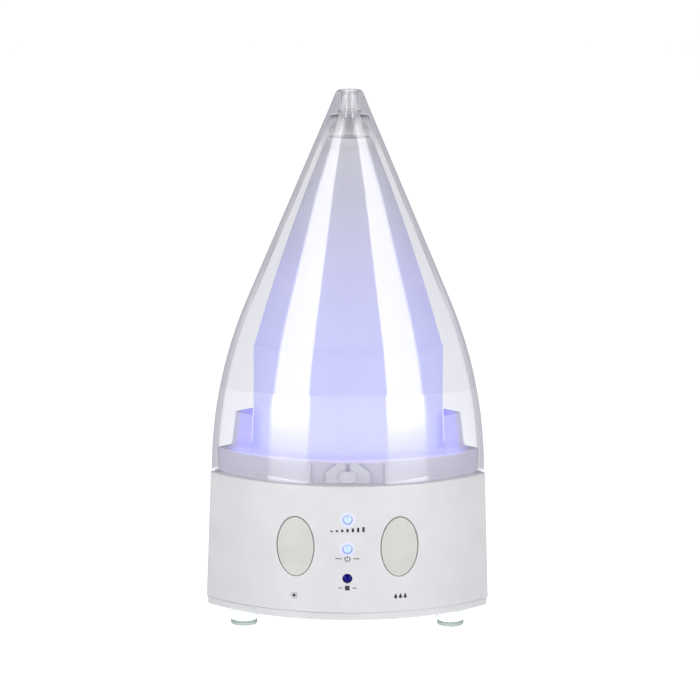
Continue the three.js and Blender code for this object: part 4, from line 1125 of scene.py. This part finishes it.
def inner_dome():
    low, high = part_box("inner_dome")
    shoulder = FLANGE_TOP + DOME_SHOULDER_RISE
    heights = spread(low.z, shoulder, 12) + spread(shoulder + DOME_STEP_HEIGHT, high.z, 40)
    sections = [(dome_lens(z, low.z, shoulder, high.z), z) for z in heights]
    roof = high.z - DOME_WALL
    rings = [lens_ring(lens, COVER_CORNER, z) for lens, z in sections]
    rings += [lens_ring(MOUTH, INNER_CORNER, z) for z in (high.z, roof)]
    for lens, z in reversed(sections):
        if z < roof:
            rings.append(lens_ring(lens.inset(DOME_WALL), INNER_CORNER, z))
    return stand_in(smooth(lofted("frosted_dome", rings, closed=True), 35), "inner_dome")


inner_dome()


def mist_nozzle():
    low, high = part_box("mist_nozzle")
    dome_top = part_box("inner_dome")[1].z
    plug = MOUTH.inset(PLUG_CLEARANCE)
    shoulder = Lens(high.x, high.y)
    bore = plug.inset(NOZZLE_WALL)
    base = dome_top + GAP
    waist = base + NOZZLE_WAIST
    neck = high.z - NOZZLE_NECK
    rings = [lens_ring(plug, INNER_CORNER, z) for z in (low.z, base)]
    rings += [lens_ring(shoulder, INNER_CORNER, base)]
    rings += [lens_ring(shoulder.inset(NOZZLE_DRAFT), INNER_CORNER, waist)]
    rings += [round_ring(SPIGOT_RADIUS, z) for z in (neck, high.z)]
    rings += [round_ring(OUTLET_RADIUS, z) for z in (high.z, neck)]
    rings += [lens_ring(bore, INNER_CORNER, z) for z in (waist, low.z)]
    nozzle = smooth(lofted("nozzle_spigot", rings, closed=True), 35)
    # painted glow at the nozzle's foot, to lift the dark mouth of the dome
    marked(nozzle, "lit_edge", lambda point: 0.05 if point.z < base + SPECK else 0.0)
    return stand_in(nozzle, "mist_nozzle")


mist_nozzle()


def cover_sections():
    """The cover's half width and depth at a height, as a function."""
    low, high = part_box("outer_cover")
    arc_x = COVER_HALF_WIDTH - COVER_ARC_RADIUS
    tip_x, tip_z = TIP_RADIUS - arc_x, high.z - low.z
    reach = math.hypot(tip_x, tip_z)
    angle = math.atan2(tip_z, tip_x) - math.acos(COVER_ARC_RADIUS / reach)
    touch_x = arc_x + COVER_ARC_RADIUS * math.cos(angle)
    touch_z = low.z + COVER_ARC_RADIUS * math.sin(angle)
    blend = high.z - TIP_BLEND

    def half_width(z):
        if z < touch_z:
            return arc_x + math.sqrt(COVER_ARC_RADIUS ** 2 - (z - low.z) ** 2)
        return TIP_RADIUS + (touch_x - TIP_RADIUS) * (high.z - z) / (high.z - touch_z)

    depth_at_blend = half_width(blend) * PLAN_RATIO
    tip_depth = TIP_DEPTH_SHARE * TIP_RADIUS

    def section(z):
        half = half_width(z)
        rounding = tip_depth + (depth_at_blend - tip_depth) * (high.z - z) / TIP_BLEND
        return Lens(half, half * PLAN_RATIO if z < blend else rounding)

    return section


def outer_cover():
    low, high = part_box("outer_cover")
    section = cover_sections()
    ceiling = high.z - TIP_SOLID
    lip = Lens(LIP_HALF_WIDTH, LIP_HALF_WIDTH * PLAN_RATIO - LIP_INSET)
    lip_top = low.z + LIP_HEIGHT
    edge, chamfer = LIP_EDGE, TIP_CHAMFER
    rings = []
    for inwards, upwards in reversed(fillet(edge, 4)):
        rings.append(lens_ring(lip.inset(inwards), LIP_EDGE, low.z + edge - upwards))
    for inwards, upwards in fillet(edge, 4):
        rings.append(lens_ring(lip.inset(inwards), LIP_EDGE, lip_top - edge + upwards))
    heights = spread(lip_top + LIP_STEP, high.z - chamfer, 90)
    rings += [lens_ring(section(z), COVER_CORNER, z) for z in heights]
    rings += [round_ring(TIP_RADIUS - chamfer * 0.5, high.z - chamfer * 0.3)]
    rings += [round_ring(TIP_RADIUS - chamfer, high.z)]
    spigot_top = ceiling + SOCKET_DEPTH
    rings += [round_ring(OUTLET_RADIUS, z) for z in (high.z, spigot_top)]
    rings += [round_ring(SOCKET_RADIUS, z) for z in (spigot_top, ceiling)]
    for z in reversed(spread(low.z, ceiling, 80)):
        rings.append(lens_ring(section(z).inset(COVER_WALL), INNER_CORNER, z))
    cover = smooth(lofted("clear_cover", rings, closed=True), 35)

    def thickness(point):
        if point.z < lip_top:
            return 0.0
        if point.z > ceiling - SPECK:
            outside = math.hypot(point.x, point.y) > SOCKET_RADIUS + SPECK
            return min(1.0, 0.65 + abs(point.x) / (2.5 * TIP_RADIUS)) if outside else 0.0
        corner = section(point.z).inset(COVER_WALL).a
        under_tip = 0.45 * (1 - (ceiling - point.z) / UNDER_TIP)
        return max(past(abs(point.x), corner), under_tip)

    # painted glow along the foot lip, a bright line where the cover meets the base
    def lit_edge(point):
        return 0.1 if point.z < lip_top and abs(point.y) > lip.depth_at(point.x) * 0.5 else 0.0

    marked(cover, "thickness", thickness)
    return stand_in(marked(cover, "lit_edge", lit_edge), "outer_cover")


outer_cover()


# ------------------------------------------------------------------ CAD nodes that keep their shape
for name, node in NODES.items():
    dress(node, SLOT_OF[name])
    bevelled(node, FINE_EDGE.get(name, CAD_EDGE))


# ------------------------------------------------------------------ floor, light and camera
def floor():
    """A pale floor, with a painted glow in a wedge towards each front softbox and painted brighter far
    behind the object.
    """
    shape = bmesh.new()
    corners = [(-5, -2.5), (-2, -3.5), (0, -3.8), (2, -3.5), (5, -2.5), (5, 7), (-5, 7)]
    shape.faces.new([shape.verts.new((x, y, 0)) for x, y in corners])
    made = new_object("studio_floor", shape)
    paint = Paint("studio_floor", (0.8, 0.8, 0.8), 0.25, ior=1.5)
    paint.mottle((0.8, 0.8, 0.8), (0.82, 0.82, 0.82), 2)
    paint.set("Emission Color", (1, 1, 1, 1))
    across = paint.sum_of("ABSOLUTE", paint.along("X"))
    backward = paint.along("Y")
    forward = paint.sum_of("MULTIPLY", backward, -1)
    slant = paint.sum_of("DIVIDE", across, paint.sum_of("MAXIMUM", forward, 0.01))
    inner, outer = (math.tan(math.radians(angle)) for angle in WEDGE_ANGLES)
    inner_side = paint.step(slant, inner - 0.03, inner + 0.01)
    outer_side = paint.step(slant, outer + 0.12, outer - 0.05)
    wedge = paint.sum_of("MULTIPLY", inner_side, outer_side)
    distance = paint.node("ShaderNodeVectorMath", operation="LENGTH")
    paint.link(paint.place(), distance.inputs[0])
    # painted glow: the wedges stand in for the softboxes' light on a glossy table, seen reflected in the
    # cover
    in_front = paint.sum_of("MULTIPLY", wedge, paint.step(forward, 0.0, 0.1))
    near = paint.sum_of("MULTIPLY", in_front, paint.step(distance.outputs["Value"], 0.4, 1.9))
    # painted brightening of the floor far behind the object
    behind = paint.sum_of("MULTIPLY", paint.step(backward, 2.2, 4.5), 0.4)
    strength = paint.sum_of("MULTIPLY_ADD", near, WEDGE_GLOW, paint.sum_of("ADD", behind, 0.75))
    paint.link(strength, paint.shader.inputs["Emission Strength"])
    made.data.materials.append(paint.material)


def softbox(name, azimuth, elevation, distance, width, height, power):
    data = bpy.data.lights.new(name, "AREA")
    data.shape = "RECTANGLE"
    data.size = width
    data.size_y = height
    data.energy = power
    made = bpy.data.objects.new(name, data)
    a, e = math.radians(azimuth), math.radians(elevation)
    direction = Vector((math.sin(a) * math.cos(e), -math.cos(a) * math.cos(e), math.sin(e)))
    made.location = AIM + direction * distance
    made.rotation_euler = direction.to_track_quat("Z", "Y").to_euler()
    made.visible_camera = False
    made.visible_transmission = False
    bpy.context.scene.collection.objects.link(made)


def camera():
    data = bpy.data.cameras.new("camera")
    data.sensor_width = 36
    data.lens = CAMERA_LENS
    data.clip_start = 0.1
    data.clip_end = 50
    made = bpy.data.objects.new("camera", data)
    pitch = math.radians(CAMERA_PITCH)
    away = Vector((0, -math.cos(pitch), math.sin(pitch)))
    place = Matrix.Translation(CAMERA_TARGET + away * CAMERA_DISTANCE)
    roll = Matrix.Rotation(math.radians(CAMERA_ROLL), 4, "Z")
    made.matrix_world = place @ away.to_track_quat("Z", "Y").to_matrix().to_4x4() @ roll
    bpy.context.scene.collection.objects.link(made)
    bpy.context.scene.camera = made


floor()
for name, settings in SOFTBOXES.items():
    softbox(name, *settings)
camera()
world = bpy.data.worlds.new("studio")
world.use_nodes = True
background = world.node_tree.nodes["Background"]
background.inputs["Color"].default_value = (0.9, 0.9, 0.92, 1)
background.inputs["Strength"].default_value = 0.2
bpy.context.scene.world = world
bpy.context.scene.view_settings.view_transform = "Standard"
